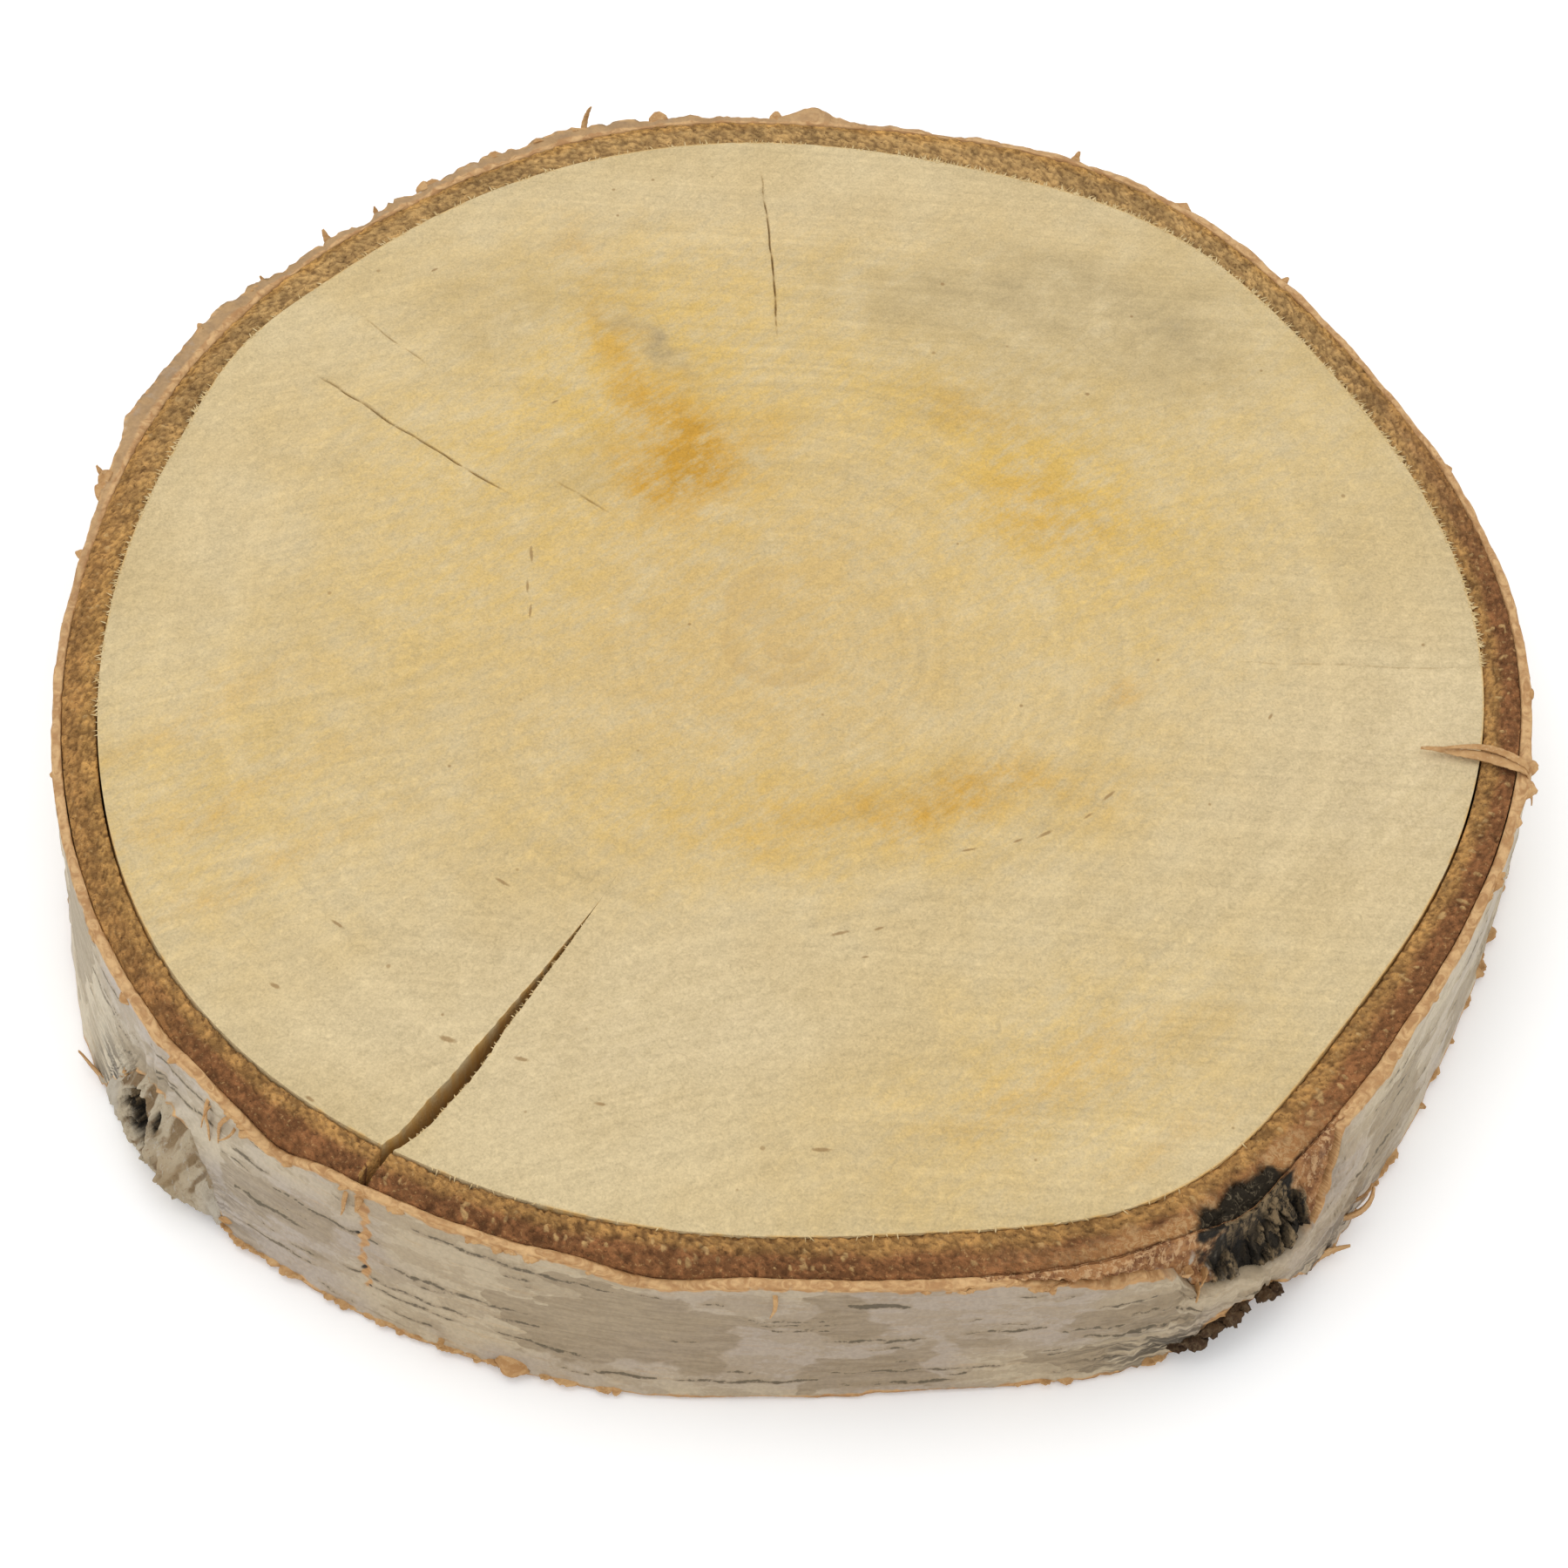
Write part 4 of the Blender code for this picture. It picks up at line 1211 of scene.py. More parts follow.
def knotMaterial(name, first, second, limits):
    # bark round a knot: two body colours, black plates with a painted highlight on the higher ones, and
    # painted shade in the deep cracks
    finish = knotFinish
    material, shader, where = startMaterial(name, finish["surface"])
    grain, tone, pits = crumbGrain(where, finish["grain"])
    body = tone.spread(*limits).mix(finish[first], finish[second])
    flakes = where.stretch((1, 1, 0.35)).noise(900.0, 3.0, 0.7, 0.4)
    if name == "stubBark":
        body = flakes.spread(0.49, 0.60, 0.0, 0.9).mix(body, finish["flake"])
    else:
        body = body.coats((where.mark("fibre").spread(0.55, 0.05), finish["fibreBrown"]),
                          (where.mark("lump") * 0.75, finish["lump"]),
                          (flakes.spread(0.56, 0.68, 0.0, 0.6), finish["pale"]))
    # partly the dry bark's paler tone, partly painted highlight: the higher plates turn paler
    dry = where.mark("tone").spread(0.35, 0.8) * flakes.spread(0.36, 0.54)
    dark = dry.mix(finish["black"], finish["blackDry"])
    colour = body.coats((pits * 0.5, finish["red"]), (where.mark("black"), dark),
                        # painted shade, near black, in the slots, cracks and holes
                        (where.mark("pale"), finish["pale"]), (where.mark("hole") * 0.85, finish["deep"]))
    finishMaterial(shader, colour, finish["surface"], grain + flakes * 0.8)
    return material


# papery outer bark

paper = {
    "radius": 142.0,
    "columns": 1150,
    "wallSteps": 60,
    "topSteps": 5,
    "tornRim": ((-128.5, 3.5, 3.0), (-98.5, 4.0, 2.4), (172, 6, 1.2), (27, 5, 1.0)),
    "frontAngles": (-76, -70, -66, -62.4, -61.2, -58, -54, -51.6, -50, -47.6),
    "frontBorder": (32.0, 29.5, 27.5, 24.5, 18.0, 16.5, 15.5, 15.5, 22.0, 32.0),
    "leftAngles": (-147, -145.5, -142.5, -139, -136, -133.6, -131.6),
    "leftArch": (0.4, 8.0, 19.5, 20.5, 18.0, 9.0, 0.4),
    # lenticels: both end angles and heights, and half thickness in mm
    "lenticels": (
        (-152, -144, 23.0, 22.0, 0.35), (-151, -146, 28.0, 28.0, 0.3), (-141.5, -134, 28.6, 28.0, 0.3),
        (-141, -132.5, 23.6, 25.0, 0.3), (-132, -128.5, 23.0, 23.0, 0.4), (-129, -118.5, 20.3, 20.4, 0.35),
        (-131.5, -125, 14.0, 15.0, 0.45), (-118.8, -107.5, 16.0, 16.0, 0.4),
        (-116.5, -101.5, 28.4, 26.5, 0.35), (-110, -106, 13.5, 13.5, 0.3), (-110, -103, 10.0, 8.2, 0.35),
        (-122, -112, 11.3, 11.3, 0.35),
        (-126.5, -124, 9.3, 9.3, 0.25), (-130, -124, 7.0, 7.0, 0.3), (-119.7, -113, 9.0, 9.0, 0.3),
        (-118.5, -114, 5.0, 5.0, 0.25), (-102.7, -98, 5.6, 5.6, 0.4), (-97, -87, 5.7, 5.7, 0.45),
        (-92, -85.5, 21.5, 21.6, 0.25), (-92, -86, 22.7, 22.7, 0.2), (-86.5, -79.5, 17.0, 17.0, 0.3),
        (-85, -80.5, 27.0, 27.0, 0.75), (-86, -77, 7.5, 7.5, 0.35), (-83, -77.5, 3.8, 3.8, 0.4),
        (-77, -71.3, 18.2, 18.2, 0.35), (-70.3, -65.8, 16.2, 16.0, 0.3), (-69, -63, 13.5, 13.5, 0.3),
        (-71.3, -69.2, 9.7, 9.7, 0.3), (-68, -63, 22.0, 22.0, 0.3), (-64, -61, 18.5, 15.0, 0.35),
        (-45.5, -38, 19.0, 19.6, 0.35), (-47, -39, 14.0, 10.0, 0.4), (-42, -40, 28.0, 28.0, 0.3),
        (-30, -24, 24.0, 24.0, 0.35), (-18, -9, 15.5, 15.0, 0.35), (-24, -15, 8.0, 8.6, 0.3),
        (2, 12, 20.0, 20.4, 0.4), (16, 23, 10.0, 10.0, 0.35), (28, 39, 25.0, 24.6, 0.35),
        (44, 52, 15.0, 15.0, 0.35), (60, 72, 7.5, 8.0, 0.4), (80, 89, 21.0, 21.0, 0.35),
        (108, 120, 13.0, 13.4, 0.4), (131, 139, 24.0, 24.0, 0.35),
        (150, 161, 10.5, 10.0, 0.35), (170, 179, 18.0, 18.0, 0.35),
    ),
    "smallDashes": 190,
    # olive patches where the white skin is gone: both end angles, both end heights
    "patches": (
        (-110, -102, 8, 19), (-106, -92, 11, 26), (-87.5, -83.5, 16, 29), (-88, -79, 3, 14),
        (-77.5, -73, 12, 16), (-76, -68, 3, 11), (-71, -62, 14, 20), (-160, -152, 6, 30),
        (-132, -124, 12, 19), (-147, -139, 19, 23),
        (-44, -36, 8, 22), (-30, -20, 3, 14), (-12, -2, 16, 26), (10, 24, 4, 15), (36, 48, 14, 27),
        (58, 70, 3, 13), (78, 96, 8, 22), (112, 124, 14, 28), (134, 150, 4, 16), (164, 178, 12, 25),
    ),
    "lenticelRise": 0.32,
    # a strip torn off upright: angles, heights and widths along it, and the small holes in it
    "scar": ((-121.0, -120.6, -120.2, -120.5, -119.9, -119.7), (31.5, 27, 21, 16, 12, 7.5),
             (1.2, 3.0, 1.6, 1.0, 1.8, 1.0)),
    # small holes, painted black as shade
    "scarHoles": ((-120.9, 20.5), (-120.2, 12.4), (-119.6, 8.3)),
    "crust": ((118, 46, 1.0), (150, 18, 0.5)),    # old bark: middle angle, half width, strength
    # angle, height, reach sideways in degrees and upright in mm, strength
    "folds": ((-64, 8, 7, 9, 1.0), (-46, 14, 6, 14, 1.0), (-146, 12, 6, 14, 1.0), (-131, 8, 4, 9, 1.0)),
    "pleats": (-140.8, 13.0),    # the place in the left hole that the pleats run to: angle, height
    # dark blotches low down beside the knots' folds
    "grime": ((-63.5, 6, 5, 7, 1.0), (-50, 3, 8, 6, 1.0), (-133, 6, 4, 8, 0.5), (-146, 8, 3, 9, 1.0)),
    "raggedTop": 0.45,
    "raggedFoot": 0.6,
    "strip": ((-63.4, -62.2, -52.2, -51.0), (0.0, 1.0, 1.0, 0.0)),   # the border stays white below the knot
    "crumbNotch": ((-63.6, -61.9, -60.4, -57.0, -54.2, -52.4, -51.0), (0.3, 4.2, 8.8, 10.2, 8.4, 4.6, 0.3)),
}


def wander(angle):
    # shifts an angle by up to about a degree, so that the torn borders are never straight
    return angle + 1.3 * fractal(rimLine(angle), 7.0, 4, 53, fall=0.6)


def leftArch(angle):
    # the lower border's height over the left knot, between the measured points
    return np.interp(wander(angle), paper["leftAngles"], paper["leftArch"], left=0, right=0)


def paperTop(angle):
    # ragged upper border, torn down in places and round the front knot
    coarse = top - 0.7 * (1 + ripple(angle, 0, 11, (18, 60), 0)) - swell(angle, paper["tornRim"])
    border = np.interp(wander(angle), paper["frontAngles"], paper["frontBorder"], left=40, right=40)
    return np.minimum(coarse, border) + paper["raggedTop"] * fractal(rimLine(angle), 3.2, 4, 51, fall=0.65)


def paperFoot(angle):
    # ragged lower border, arched over the left knot and notched under the front one
    coarse = 0.5 * (1.4 + ripple(angle, 0, 12, (14, 50), 0))
    arch = leftArch(angle)
    notch = np.interp(wander(angle), *paper["crumbNotch"], left=0, right=0)
    fine = paper["raggedFoot"] * np.abs(fractal(rimLine(angle), 4.0, 4, 52, fall=0.6))
    return np.maximum(np.maximum(coarse, arch), notch) + fine


def allDashes():
    # the listed lenticels, and small random ones between them
    draw = np.random.default_rng(77)
    dashes = list(paper["lenticels"])
    for _ in range(paper["smallDashes"]):
        start = draw.uniform(-180, 180)
        length = draw.uniform(0.8, 3.2)
        height = draw.uniform(2.5, top - 3)
        dashes.append((start, start + length, height, height + draw.normal() * 0.25, draw.uniform(0.1, 0.24)))
    return dashes


def dashGap(angle, height):
    # distance in mm to the nearest dash's middle line, less its half thickness, pinched towards both ends
    best = np.full(np.shape(angle), 9.0)
    for start, end, low, high, half in allDashes():
        turn = turnFrom(angle, start)
        inside = np.clip(turn / (end - start), 0, 1)
        aside = arc(turn - inside * (end - start), paper["radius"])
        upright = height - (low + (high - low) * inside) - 0.22 * np.sin(turn * 1.9 + start)
        pinch = half * 0.78 * (1.6 * np.sqrt(inside * (1 - inside)) + 0.15)
        best = np.minimum(best, np.hypot(aside, upright) - pinch)
    return best


def patchGap(angle, height):
    # signed distance in mm to the nearest patch's box, below 0 inside
    best = np.full(np.shape(angle), 9.0)
    for start, end, low, high in paper["patches"]:
        middle, half = (start + end) / 2, (end - start) / 2
        aside = arc(np.abs(turnFrom(angle, middle)) - half, paper["radius"])
        upright = np.abs(height - (low + high) / 2) - (high - low) / 2
        outside = np.hypot(np.maximum(aside, 0), np.maximum(upright, 0))
        best = np.minimum(best, outside + np.minimum(np.maximum(aside, upright), 0))
    return best


def tornScar(angle, height):
    # distance in mm to the scar's middle line less its half width, and its holes
    turns, levels, widths = (np.array(part)[::-1] for part in paper["scar"])
    line = np.interp(height, levels, turns) + 0.18 * np.sin(height * 2.1)
    half = np.interp(height, levels, widths, left=-3, right=1.2) / 2
    scar = arc(np.abs(angle - line), paper["radius"]) - half
    holes = np.zeros(np.shape(angle))
    for turn, level in paper["scarHoles"]:
        aside = arc(angle - turn, paper["radius"])
        holes = np.maximum(holes, np.exp(-((aside / 0.8) ** 2) - ((height - level) / 0.55) ** 2))
    return scar, holes


def knotPleats(angle, height, skin):
    # folds running into the left hole: ridges by the direction seen from the hole, fading with the distance,
    # and painted shade in the valleys between them
    middle, level = paper["pleats"]
    aside, upright = arc(angle - middle, leftKnot["radius"]), height - level
    away = np.hypot(aside, upright)
    way = np.arctan2(aside, upright)
    wave = np.sin(9.0 * way + 0.16 * away + 2.4 * fractal(skin, 9.0, 2, 54))
    fade = np.exp(-(((away - 8.0) / 7.0) ** 2)) * easeStep(-0.4, 0.6, np.cos(way) - 0.35 * np.sin(way))
    # the second is painted shade in the valleys between the ridges
    return fade * (1 - np.abs(wave)) ** 1.5, fade * easeStep(0.62, 0.95, np.abs(wave))


def oldBark(skin, rough):
    # scalloped ridges, and plates parted by branching fissures, as far as the bark is rough
    scallop = 1 - 2.8 * np.abs(fractal(skin, 10.0, 5, 57, (1.0, 1.0, 0.9), 0.62))
    seam = 1 - 3.4 * np.abs(fractal(skin, 12.0, 5, 67, (0.8, 0.8, 1.7), 0.62))
    fissure = easeStep(0.45, 0.95, seam) * easeStep(-0.2, 0.25, fractal(skin, 15.0, 3, 64))
    plate = np.clip(0.5 + 0.9 * fractal(skin, 8.0, 5, 65, (1.5, 1.5, 0.6), 0.62), 0, 1)
    knobs = 1.3 * rough * scallop - 0.9 * rough + rough * (1.2 * (plate - 0.5) - 0.8 * fissure)
    return knobs, plate, fissure


def makePaper(material):
    # a shell on angle and share of the height: the rim's radius plus wrinkles, old bark, folds and lifted
    # borders, less lenticels, bare patches and the scar; its roof is a torn, layered border
    angle = np.linspace(-180, 180, paper["columns"] + 1)
    foot, crown = paperFoot(angle), paperTop(angle)
    foot[-1], crown[-1] = foot[0], crown[0]
    rows = np.linspace(0, 1, paper["wallSteps"] + 1)[:, None]
    height = foot + (crown - foot) * rows
    turn = angle + 0 * height
    smooth = rimRadius(turn, height)
    skin = place(turn, smooth, height)
    dash = dashGap(turn, height)
    patch = 0.55 * patchGap(turn, height) + 6.5 * fractal(skin, 11.0, 5, 55, (1.7, 1.7, 0.6), 0.6)
    rough = swell(turn, trunk["roughSwells"])
    wrinkle = 0.10 * fractal(skin, 7.0, 3, 56, (2.4, 2.4, 0.45))
    knobs, plate, fissure = oldBark(skin, rough)
    pleats, valley = knotPleats(turn, height, skin)
    folds = 0.8 * spots(turn, height, paper["folds"]) * fractal(skin, 5.0, 3, 58, (2.5, 2.5, 0.55)) + pleats
    groove = 0.15 * easeStep(0.1, -0.3, dash) - paper["lenticelRise"] * easeStep(0.9, 0.0, dash)
    layer = 0.14 * easeStep(0.3, -0.3, patch)
    scar, holes = tornScar(turn, height)
    groove = groove + 0.35 * easeStep(0.6, -0.6, scar) + 0.7 * holes
    lip = 0.55 * easeStep(2.6, 0.0, crown - height) * (0.3 + fractal(skin, 9.0, 3, 59))
    lift = 0.5 * easeStep(3.5, 0.0, height - foot) * (0.5 + fractal(skin, 8.0, 3, 60))
    bulge = frontBulge(turn, height) * 1.12 * np.clip(height / 7, 0, 1)
    radius = smooth + bulge + wrinkle + knobs + folds - groove - layer + lip + lift
    radius = np.maximum(radius, barkRadius(turn, height) + 1.0)
    radius[:, -1] = radius[:, 0]
    outside = place(turn, radius, height)
    levels = foot + (crown - foot) * np.linspace(0, 1, 5)[:, None]
    inside = place(angle, barkRadius(angle, levels) + 0.25, levels)
    roof = bridge(inside[-1], outside[-1], paper["topSteps"])
    share = np.linspace(0, 1, paper["topSteps"] + 1)[:, None]
    hump = 4 * share * (1 - share)
    torn = fractal(roof, 2.2, 3, 62, (1.5, 1.5, 1))
    torn[:, -1] = torn[:, 0]
    chance = cellGap(roof, 3.2, 63)[1]
    chance[:, -1] = chance[:, 0]
    crusty = np.clip(swell(angle, paper["crust"]), 0, 1) * share
    roof[..., 2] += hump * (0.25 + 0.55 * torn) - 1.6 * crusty * np.minimum(2 * (1 - share), 1) * chance
    floor = bridge(inside[0], outside[0], 2)
    strip = np.interp(angle, *paper["strip"], left=0, right=0)
    edge = np.minimum(crown - height + 6 * strip, 9.0)
    grime = spots(turn, height, paper["grime"])
    # the valley mark is painted shade between the pleats
    marks = {"dash": dash, "patch": patch, "edge": edge, "foot": np.minimum(height - foot, 9.0), "skin": 1.0,
             # the hole mark is painted shade in the scar's small holes
             "scar": np.minimum(scar, 9.0), "hole": holes, "crust": swell(turn, paper["crust"]),
             "grime": np.clip(grime, 0, 1), "valley": np.clip(valley, 0, 1), "plate": plate,
             "fissure": np.clip(rough, 0, 1) * fissure}
    far = {"dash": 9.0, "patch": 9.0, "edge": 0.0, "foot": 0.0, "scar": 9.0}
    roofMarks = {**far, "skin": strip, "edge": 9 * strip, "foot": 9.0, "layers": share,
                 "plate": 0.55 + 0.45 * chance, "crust": swell(angle, paper["crust"])}
    sheets = [(outside, marks), (inside, far), (roof, roofMarks), (floor, far)]
    return makePiece("paperyBark", sheets, material, node="outer_bark")


paperFinish = {
    "surface": (0.62, 0.35, 0.5, 0.0005),
    "peeled": (0.70, 0.25, 0.5, 0.0004),    # the surface of the strips and flakes
    "crustGrain": 330.0,
    "white": (0.500, 0.430, 0.315),
    "lilac": (0.410, 0.355, 0.300),
    "olive": (0.335, 0.268, 0.180),
    "oliveDark": (0.240, 0.188, 0.120),
    "peach": (0.600, 0.375, 0.170),
    "peachDark": (0.400, 0.210, 0.080),
    "dash": (0.105, 0.085, 0.052),
    "black": (0.035, 0.028, 0.020),
    "tan": (0.450, 0.290, 0.130),
    "paleLayer": (0.640, 0.470, 0.270),
    "crust": (0.435, 0.272, 0.125),
    "crustDark": (0.215, 0.140, 0.078),
    "fissure": (0.070, 0.045, 0.026),
    # painted light and shade by where the skin faces: what it is multiplied by at the back, in front and at
    # the left
    "paintedRearLight": (1.07, 1.06, 1.02),
    "paintedFrontShade": (0.93, 0.865, 0.78),
    "paintedLeftLight": (1.17, 1.18, 1.20),
}


def whiteSkin(where, broad, streak, film, scratch):
    # white and lilac clouds, tan streaks, olive film and patches, level scratches, and lenticels with a halo
    finish = paperFinish
    olive = streak.spread(0.35, 0.65).mix(finish["olive"], finish["oliveDark"])
    patch = (where.mark("patch") + (streak - 0.5) * 1.6) / broad.spread(0.42, 0.58, 0.3, 1.6)
    dash = where.mark("dash") + (where.noise(620.0, 4.0, 0.7) - 0.42) * 1.3
    return broad.spread(0.4, 0.62).mix(finish["white"], finish["lilac"]).coats(
        (streak.spread(0.52, 0.75, 0.0, 0.35), finish["tan"]),
        (film.spread(0.50, 0.54, 0.0, 0.45), finish["olive"]),
        (patch.spread(0.3, -0.3) * 0.72, olive),
        (scratch.spread(0.66, 0.74, 0.0, 0.38), finish["oliveDark"]),
        (dash.spread(0.85, 0.1, 0.0, 0.6), finish["olive"]),
        (dash.spread(0.26, 0.0, 0.0, 0.9), finish["dash"]))


def roughCrust(where, streak):
    # old bark: plates in two browns, grey streaks and dark fissures
    finish = paperFinish
    tone = crumbGrain(where, finish["crustGrain"])[1]
    plates = (where.mark("plate") * 0.5 + tone * 0.8).spread(0.3, 1.0)
    return plates.mix(finish["crustDark"], finish["crust"]).coats(
        (streak.spread(0.55, 0.7, 0.0, 0.3), finish["lilac"]),
        (where.mark("fissure") * 0.8, finish["fissure"]))


def paintedLightByFacing(where):
    # painted shade, darker and browner towards the front, which faces away from the light, and painted light,
    # paler towards the left
    finish = paperFinish
    colour = where.axis("Y").spread(-0.07, -0.125).mix(finish["paintedRearLight"], finish["paintedFrontShade"])
    return (where.axis("X").spread(-0.06, -0.115) * 0.7).mix(colour, finish["paintedLeftLight"])


def paperMaterial():
    # white skin over peach layers, with old bark, the scar, holes painted black as shade, dark blotches by
    # the folds, the pleats' valleys painted as shade, and painted light and shade by where it faces
    finish = paperFinish
    material, shader, where = startMaterial("paperyBark", finish["surface"])
    broad = where.stretch((1, 1, 1.6)).noise(26.0, 3.0)
    streak = where.stretch((1, 1, 9)).noise(130.0, 4.0, 0.65)
    film = where.stretch((1, 1, 2.6)).noise(70.0, 5.0, 0.7)
    scratch = where.stretch((1, 1, 26)).noise(42.0, 3.0, 0.6)
    fine = where.noise(1300.0, 2.0)
    # bare peach layers show along both sawn borders
    ragged = (where.noise(210.0, 4.0) - 0.45) * 3.4
    peach = streak.spread(0.3, 0.7).mix(finish["peach"], finish["peachDark"])
    edge, foot, scar = (where.mark(key) + ragged for key in ("edge", "foot", "scar"))
    colour = whiteSkin(where, broad, streak, film, scratch).coats(
        (edge.spread(0.85, 0.35), peach), (foot.spread(0.9, 0.4), peach))
    # the torn borders are layered, with old bark along the rear rim
    layers = where.stretch((1, 1, 14)).noise(300.0, 3.0)
    torn = layers.spread(0.35, 0.65).mix(finish["peach"], finish["peachDark"])
    barky, crust, skin = roughCrust(where, streak), where.mark("crust"), where.mark("skin")
    outer = (where.mark("layers") + broad * 0.5).spread(0.5, 0.72)
    torn = (crust * outer).mix(torn, barky)
    thick = crust * film.spread(0.36, 0.52, 0.15, 1.0) * edge.spread(0.5, 1.6)
    grime = where.mark("grime") * streak.spread(0.42, 0.58)
    colour = skin.mix(torn, colour).coats(
        # painted shade: the scar's small holes are black
        (scar.spread(0.45, -0.1), peach), (where.mark("hole").spread(0.35, 0.7), finish["black"]),
        # painted shade: olive in the pleats' valleys
        (thick, barky), (grime * 0.9, finish["black"]), (where.mark("valley") * 0.55, finish["oliveDark"]))
    # painted light and shade: the skin is darker towards the front and paler towards the left
    colour = skin.mix(colour, colour.tinted(paintedLightByFacing(where)))
    colour = colour.brighten(fine.spread(0.3, 0.7, 0.93, 1.06))
    finishMaterial(shader, colour, finish["surface"], streak + fine * 0.35 + scratch * 0.5)
    return material


# peeled strips, flakes and fibres

peel = {
    # angle, height of the root, width, length, start and end direction from outward towards upward,
    # length over which it bends, roll of its width, and how far it sways sideways
    "strips": (
        (-12.5, 31.2, 2.6, 21.0, 90, 178, 2.3, 0, 0.9), (-12.3, 31.3, 1.6, 17.5, 90, 177, 2.4, 8, 2.4),
        (-13.3, 28.0, 1.3, 4.2, -10, -80, 2.5, 0, 0.5),
        (106.5, 28.4, 1.5, 9.5, -20, 128, 8.5, 25, -0.8), (131, 29.0, 2.2, 5.0, 10, 45, 4.0, 0, 0.2),
        (126, 29.0, 1.6, 3.6, 0, 60, 3.0, 0, 0.2), (138, 29.0, 1.5, 3.4, 10, 55, 3.0, 0, -0.2),
        (162, 28.5, 2.4, 4.5, 20, 45, 4.0, 20, 0.2), (64, 29.0, 2.4, 4.5, 15, 45, 4.0, 0, 0.2),
        (-135, 29.5, 0.9, 11.0, -20, -86, 5.0, 10, 0.9), (-132.6, 29.6, 0.9, 9.5, -10, -84, 4.0, -12, -0.8),
        (-134.6, 28.0, 0.6, 5.0, 20, -60, 4.0, 40, 0.6), (-132.2, 27.5, 0.6, 4.4, 25, -50, 4.0, -40, 0.6),
        (-122, 30.0, 1.0, 6.5, -10, -80, 4.0, 0, 0.5), (-120.9, 29.4, 1.8, 3.0, 0, -60, 3.0, 20, 0.2),
        (-90, 29.6, 0.9, 6.0, 0, -85, 4.0, -10, 0.4), (-146.4, 1.8, 2.6, 10.5, 88, 76, 10.5, 86, 0.2),
        (-108.5, 3.2, 7.5, 3.6, -5, -32, 3.0, -8, 0.2), (-114, 2.6, 1.3, 4.6, 0, 60, 3.5, 5, 0.8),
        (-47.4, 5.2, 4.0, 9.0, 44, 118, 9.0, -58, 0.4), (-46.4, 6.6, 2.0, 6.0, 50, 100, 6.0, -62, 0.3),
        (-50.6, 2.2, 3.4, 7.5, 84, 58, 7.5, -80, 0.3), (-61.5, 24.0, 1.4, 6.5, 10, 80, 4.0, 35, 0.4),
        (-60.2, 21.0, 1.8, 4.5, 20, 60, 3.0, 60, 0.3), (-60.8, 18.0, 2.2, 3.6, 10, 40, 3.0, 80, 0.2),
    ),
    "stripSteps": 34,
    "thickness": 0.42,
    "flakes": 190,
    "flakeSteps": 6,
    "flakeLength": (1.1, 2.3),
    "flakeWidth": (1.8, 5.5),
    "flakesOnTop": 0.3,
    # stretches with torn scales: middle angle, half width, share of the flakes
    "flakeStretches": ((-117, 16, 0.34), (-72, 6, 0.06), (140, 40, 0.12), (90, 60, 0.08), (0, 180, 0.24),
                       (-25, 24, 0.16)),
}


def ribbon(angle, height, width, length, start, end, bend, roll, sway, steps, seed):
    # a strip along a path whose direction turns from start to end; it narrows, its section is cupped and its
    # borders are ragged
    draw = np.random.default_rng(seed)
    turn, tilt = np.radians(angle), np.radians(roll)
    outward = np.array([np.cos(turn), np.sin(turn), 0.0])
    along = np.array([-np.sin(turn), np.cos(turn), 0.0])
    upward = np.array([0.0, 0.0, 1.0])
    across = along * np.cos(tilt) + upward * np.sin(tilt)
    rising = upward * np.cos(tilt) - along * np.sin(tilt)
    travel = np.linspace(0, length, steps + 1)
    share = np.clip(travel / bend, 0, 1)
    curl = 7 * np.sin(travel * draw.uniform(0.5, 0.9) + draw.uniform(0, 6)) * (travel / length)
    lean = np.radians(start + (end - start) * share + curl)
    ahead = outward * np.cos(lean)[:, None] + rising * np.sin(lean)[:, None]
    middle = np.vstack([np.zeros(3), np.cumsum((ahead[1:] + ahead[:-1]) / 2 * (length / steps), axis=0)])
    middle = middle + across * (sway * np.sin(travel / length * 3.0))[:, None]
    root = place(angle, rimRadius(angle, height) - 0.7, height)
    sides = np.linspace(-1, 1, 7)
    ragged = 1 + 0.22 * smoothNoise(np.stack([travel * 1.3, 0 * travel, 0 * travel + seed], axis=-1))
    half = width / 2 * (1 - 0.78 * (travel / length) ** 2) * ragged
    face = np.cross(across, ahead)
    cup = (0.16 * width * (sides**2 - 0.4))[None, :, None] * (1 - 0.5 * share[:, None, None])
    sheet = root + middle[:, None] + across * (half[:, None] * sides)[..., None] + face[:, None] * cup
    thick = peel["thickness"] / 2 * (1 - 0.55 * travel / length)[:, None, None]
    thick = thick * (1 - 0.5 * sides**2)[None, :, None]
    return slab(sheet + face[:, None] * thick, sheet - face[:, None] * thick)


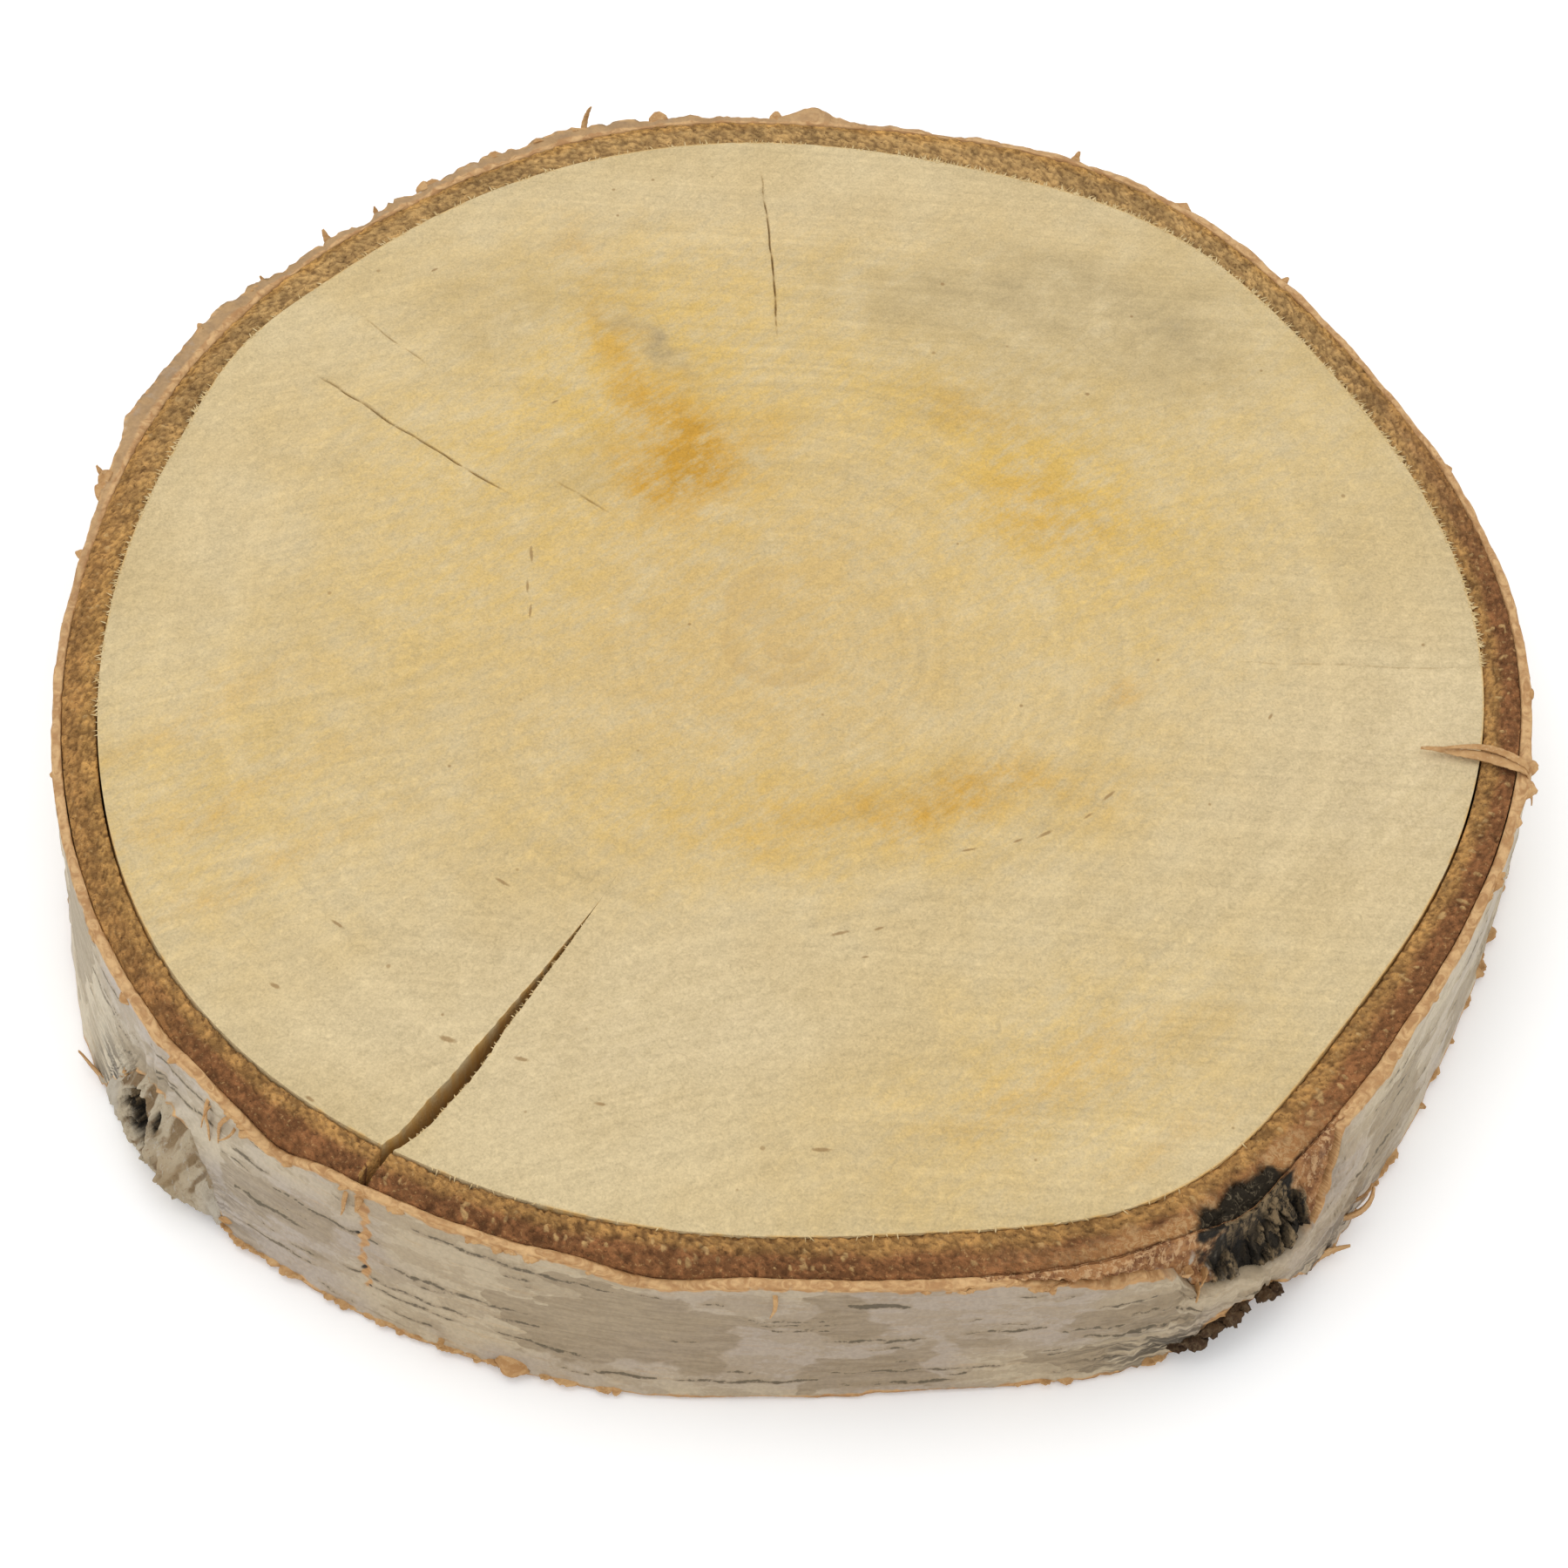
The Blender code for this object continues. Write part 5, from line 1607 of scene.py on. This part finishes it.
def makePeelings(material):
    # the listed strips, then short flakes drawn along both borders of the paper
    sheets = []
    for seed, shape in enumerate(peel["strips"]):
        strip = ribbon(*shape, peel["stripSteps"], seed + 1)
        sheets += [(grid, {"tone": 0.35 + 0.3 * (seed % 3)}) for grid in strip]
    makePiece("peeledStrips", sheets, material)
    draw = np.random.default_rng(63)
    sheets = []
    for middle, half, part in peel["flakeStretches"]:
        for _ in range(int(peel["flakes"] * part)):
            angle = middle + draw.uniform(-half, half)
            onTop = draw.uniform() < peel["flakesOnTop"]
            border = (paperTop if onTop else paperFoot)(np.array([angle]))[0]
            length, width = draw.uniform(*peel["flakeLength"]), draw.uniform(*peel["flakeWidth"])
            height = border - 0.5 if onTop else border + 0.7
            start, end = (20, draw.uniform(-30, 60)) if onTop else (-10, draw.uniform(-30, 45))
            seed = int(draw.integers(1, 9999))
            shape = (angle, height, width, length, start, end, length * 0.8, draw.uniform(-8, 8), 0.1)
            flake = ribbon(*shape, peel["flakeSteps"], seed)
            sheets += [(grid, {"tone": draw.uniform(0, 1)}) for grid in flake]
    makePiece("tornFlakes", sheets, material)


def peelMaterial():
    # peach layers in streaks, with paler specks
    finish = paperFinish
    material, shader, where = startMaterial("peeledPaper", finish["peeled"])
    streak = where.stretch((1, 1, 5)).noise(420.0, 4.0, 0.6)
    fine = where.noise(1700.0, 3.0)
    tone = streak.spread(0.3, 0.7, 0.0, 0.7) + where.mark("tone") * 0.4
    colour = tone.mix(finish["peach"], finish["peachDark"])
    colour = fine.spread(0.56, 0.7, 0.0, 0.5).mix(colour, finish["paleLayer"])
    finishMaterial(shader, colour, finish["peeled"], streak + fine)
    return material


fringe = {
    # stretches of the wood's edge: from and to angle and number of fibres
    "edge": ((-3, 80, 620), (150, 190, 200), (80, 150, 120), (-118, -48, 50)),
    "length": (0.6, 2.0),
    "half": 0.17,
    "splitStretch": (72, 126),    # from and to distance from the pith, along the split
    "splitFibres": 220,
    "splitLength": (0.3, 1.0),
    "surface": (0.7, 0.25),
    "pale": (0.70, 0.55, 0.30),
    "tan": (0.58, 0.42, 0.19),
}


def makeFringe(material):
    # torn fibres: short curved strands from the wood's edge over the bark, and from the split's right edge
    draw = np.random.default_rng(91)
    share = np.linspace(0, 1, 5)[:, None]
    sheets = []
    for low, high, number in fringe["edge"]:
        for angle in draw.uniform(low, high, number):
            slant = np.radians(angle + draw.normal() * 28)
            length = draw.uniform(*fringe["length"])
            rise = draw.uniform(-0.05, 0.22)
            root = place(angle, woodRadius(angle, top) - draw.uniform(0.1, 0.6), top - 0.03)
            ahead = np.array([np.cos(slant), np.sin(slant), rise])
            path = root + ahead * length * share + np.array([0, 0, -0.30 * length * rise * 2]) * share**2
            sheets.append((strand(path, fringe["half"] * draw.uniform(0.5, 1.7)), {}))
    for away in draw.uniform(*fringe["splitStretch"], fringe["splitFibres"]):
        half = splitHalf(np.array(away), top)
        height = top - 0.05 - abs(draw.normal()) * 0.9
        slant = np.radians(splitMiddle(away) - 90 + draw.normal() * 34)
        length = draw.uniform(*fringe["splitLength"])
        root = place(splitMiddle(away) + half + 0.05, away, height)
        ahead = np.array([np.cos(slant), np.sin(slant), draw.uniform(-0.2, 0.25)])
        sheets.append((strand(root + ahead * length * share, fringe["half"] * draw.uniform(0.7, 1.6)), {}))
    makePiece("woodFibres", sheets, material)


def fibreMaterial():
    # pale torn fibre in two tones
    material, shader, where = startMaterial("paleFibre", fringe["surface"])
    colour = where.noise(900.0, 2.0).spread(0.35, 0.65).mix(fringe["pale"], fringe["tan"])
    finishMaterial(shader, colour, fringe["surface"])
    return material


crumbs = {
    "lowest": 0.05,    # mm above the floor
    # angle, height, distance past the rim, and the three half sizes in mm (sideways, outwards, upwards)
    "lumps": (
        (-61.2, 5.2, 0.6, 3.0, 2.4, 2.0), (-60.0, 7.4, 1.2, 3.0, 2.4, 1.8), (-58.7, 8.4, 1.8, 2.6, 2.2, 1.5),
        (-57.7, 8.8, 1.0, 1.6, 2.0, 1.2), (-62.2, 3.6, -0.4, 2.2, 2.2, 1.6), (-55.9, 9.0, 1.6, 2.0, 2.2, 1.5),
        (-55.0, 8.6, 1.9, 1.3, 1.8, 1.2), (-53.6, 7.6, -0.4, 1.6, 1.6, 1.6),
    ),
}


def makeCrumbs(material):
    # lumps: x = cos tilt cos turn, y = cos tilt sin turn, z = sin tilt, times the half sizes and noise
    turn = np.linspace(0, 2 * np.pi, 33)[None]
    tilt = np.linspace(-np.pi / 2, np.pi / 2, 17)[:, None]
    x, y, z = np.cos(tilt) * np.cos(turn), np.cos(tilt) * np.sin(turn), np.sin(tilt)
    ball = np.stack(np.broadcast_arrays(x, y, z), axis=-1)
    ball[:, -1] = ball[:, 0]
    sheets = []
    for seed, (angle, height, past, aside, outwards, upwards) in enumerate(crumbs["lumps"]):
        chance = cellGap(ball + seed, 0.55, 110)[1]
        swelled = 0.85 + 0.75 * fractal(ball + 3.1 * seed, 0.7, 5, 111, fall=0.65) + 0.35 * (chance - 0.5)
        swelled[0], swelled[-1] = swelled[0, 0], swelled[-1, 0]
        swelled[:, -1] = swelled[:, 0]
        local = ball * swelled[..., None] * (outwards, aside, upwards)
        c, s = np.cos(np.radians(angle)), np.sin(np.radians(angle))
        spun = local @ np.array([[c, s, 0], [-s, c, 0], [0, 0, 1]])
        points = place(angle, rimRadius(angle, height) + past, height) + spun
        points[..., 2] = np.maximum(points[..., 2], crumbs["lowest"])
        sheets.append((points, {"black": 0.82, "tone": 0.4 * chance}))
    makePiece("stubCrumbs", sheets, material)


def main():
    # the stage, then every piece with its material
    makeCamera()
    makeStudio()
    print("stage and camera done")
    makeWood(woodMaterial())
    makeInnerBark(innerBarkMaterial())
    makePaper(paperMaterial())
    stub = knotMaterial("stubBark", "orange", "red", (0.44, 0.60))
    makeFrontKnot(stub)
    makeCrumbs(stub)
    makeLeftKnot(knotMaterial("fibrousBark", "fibreGrey", "fibreBrown", (0.50, 0.80)))
    makePeelings(peelMaterial())
    makeFringe(fibreMaterial())


main()
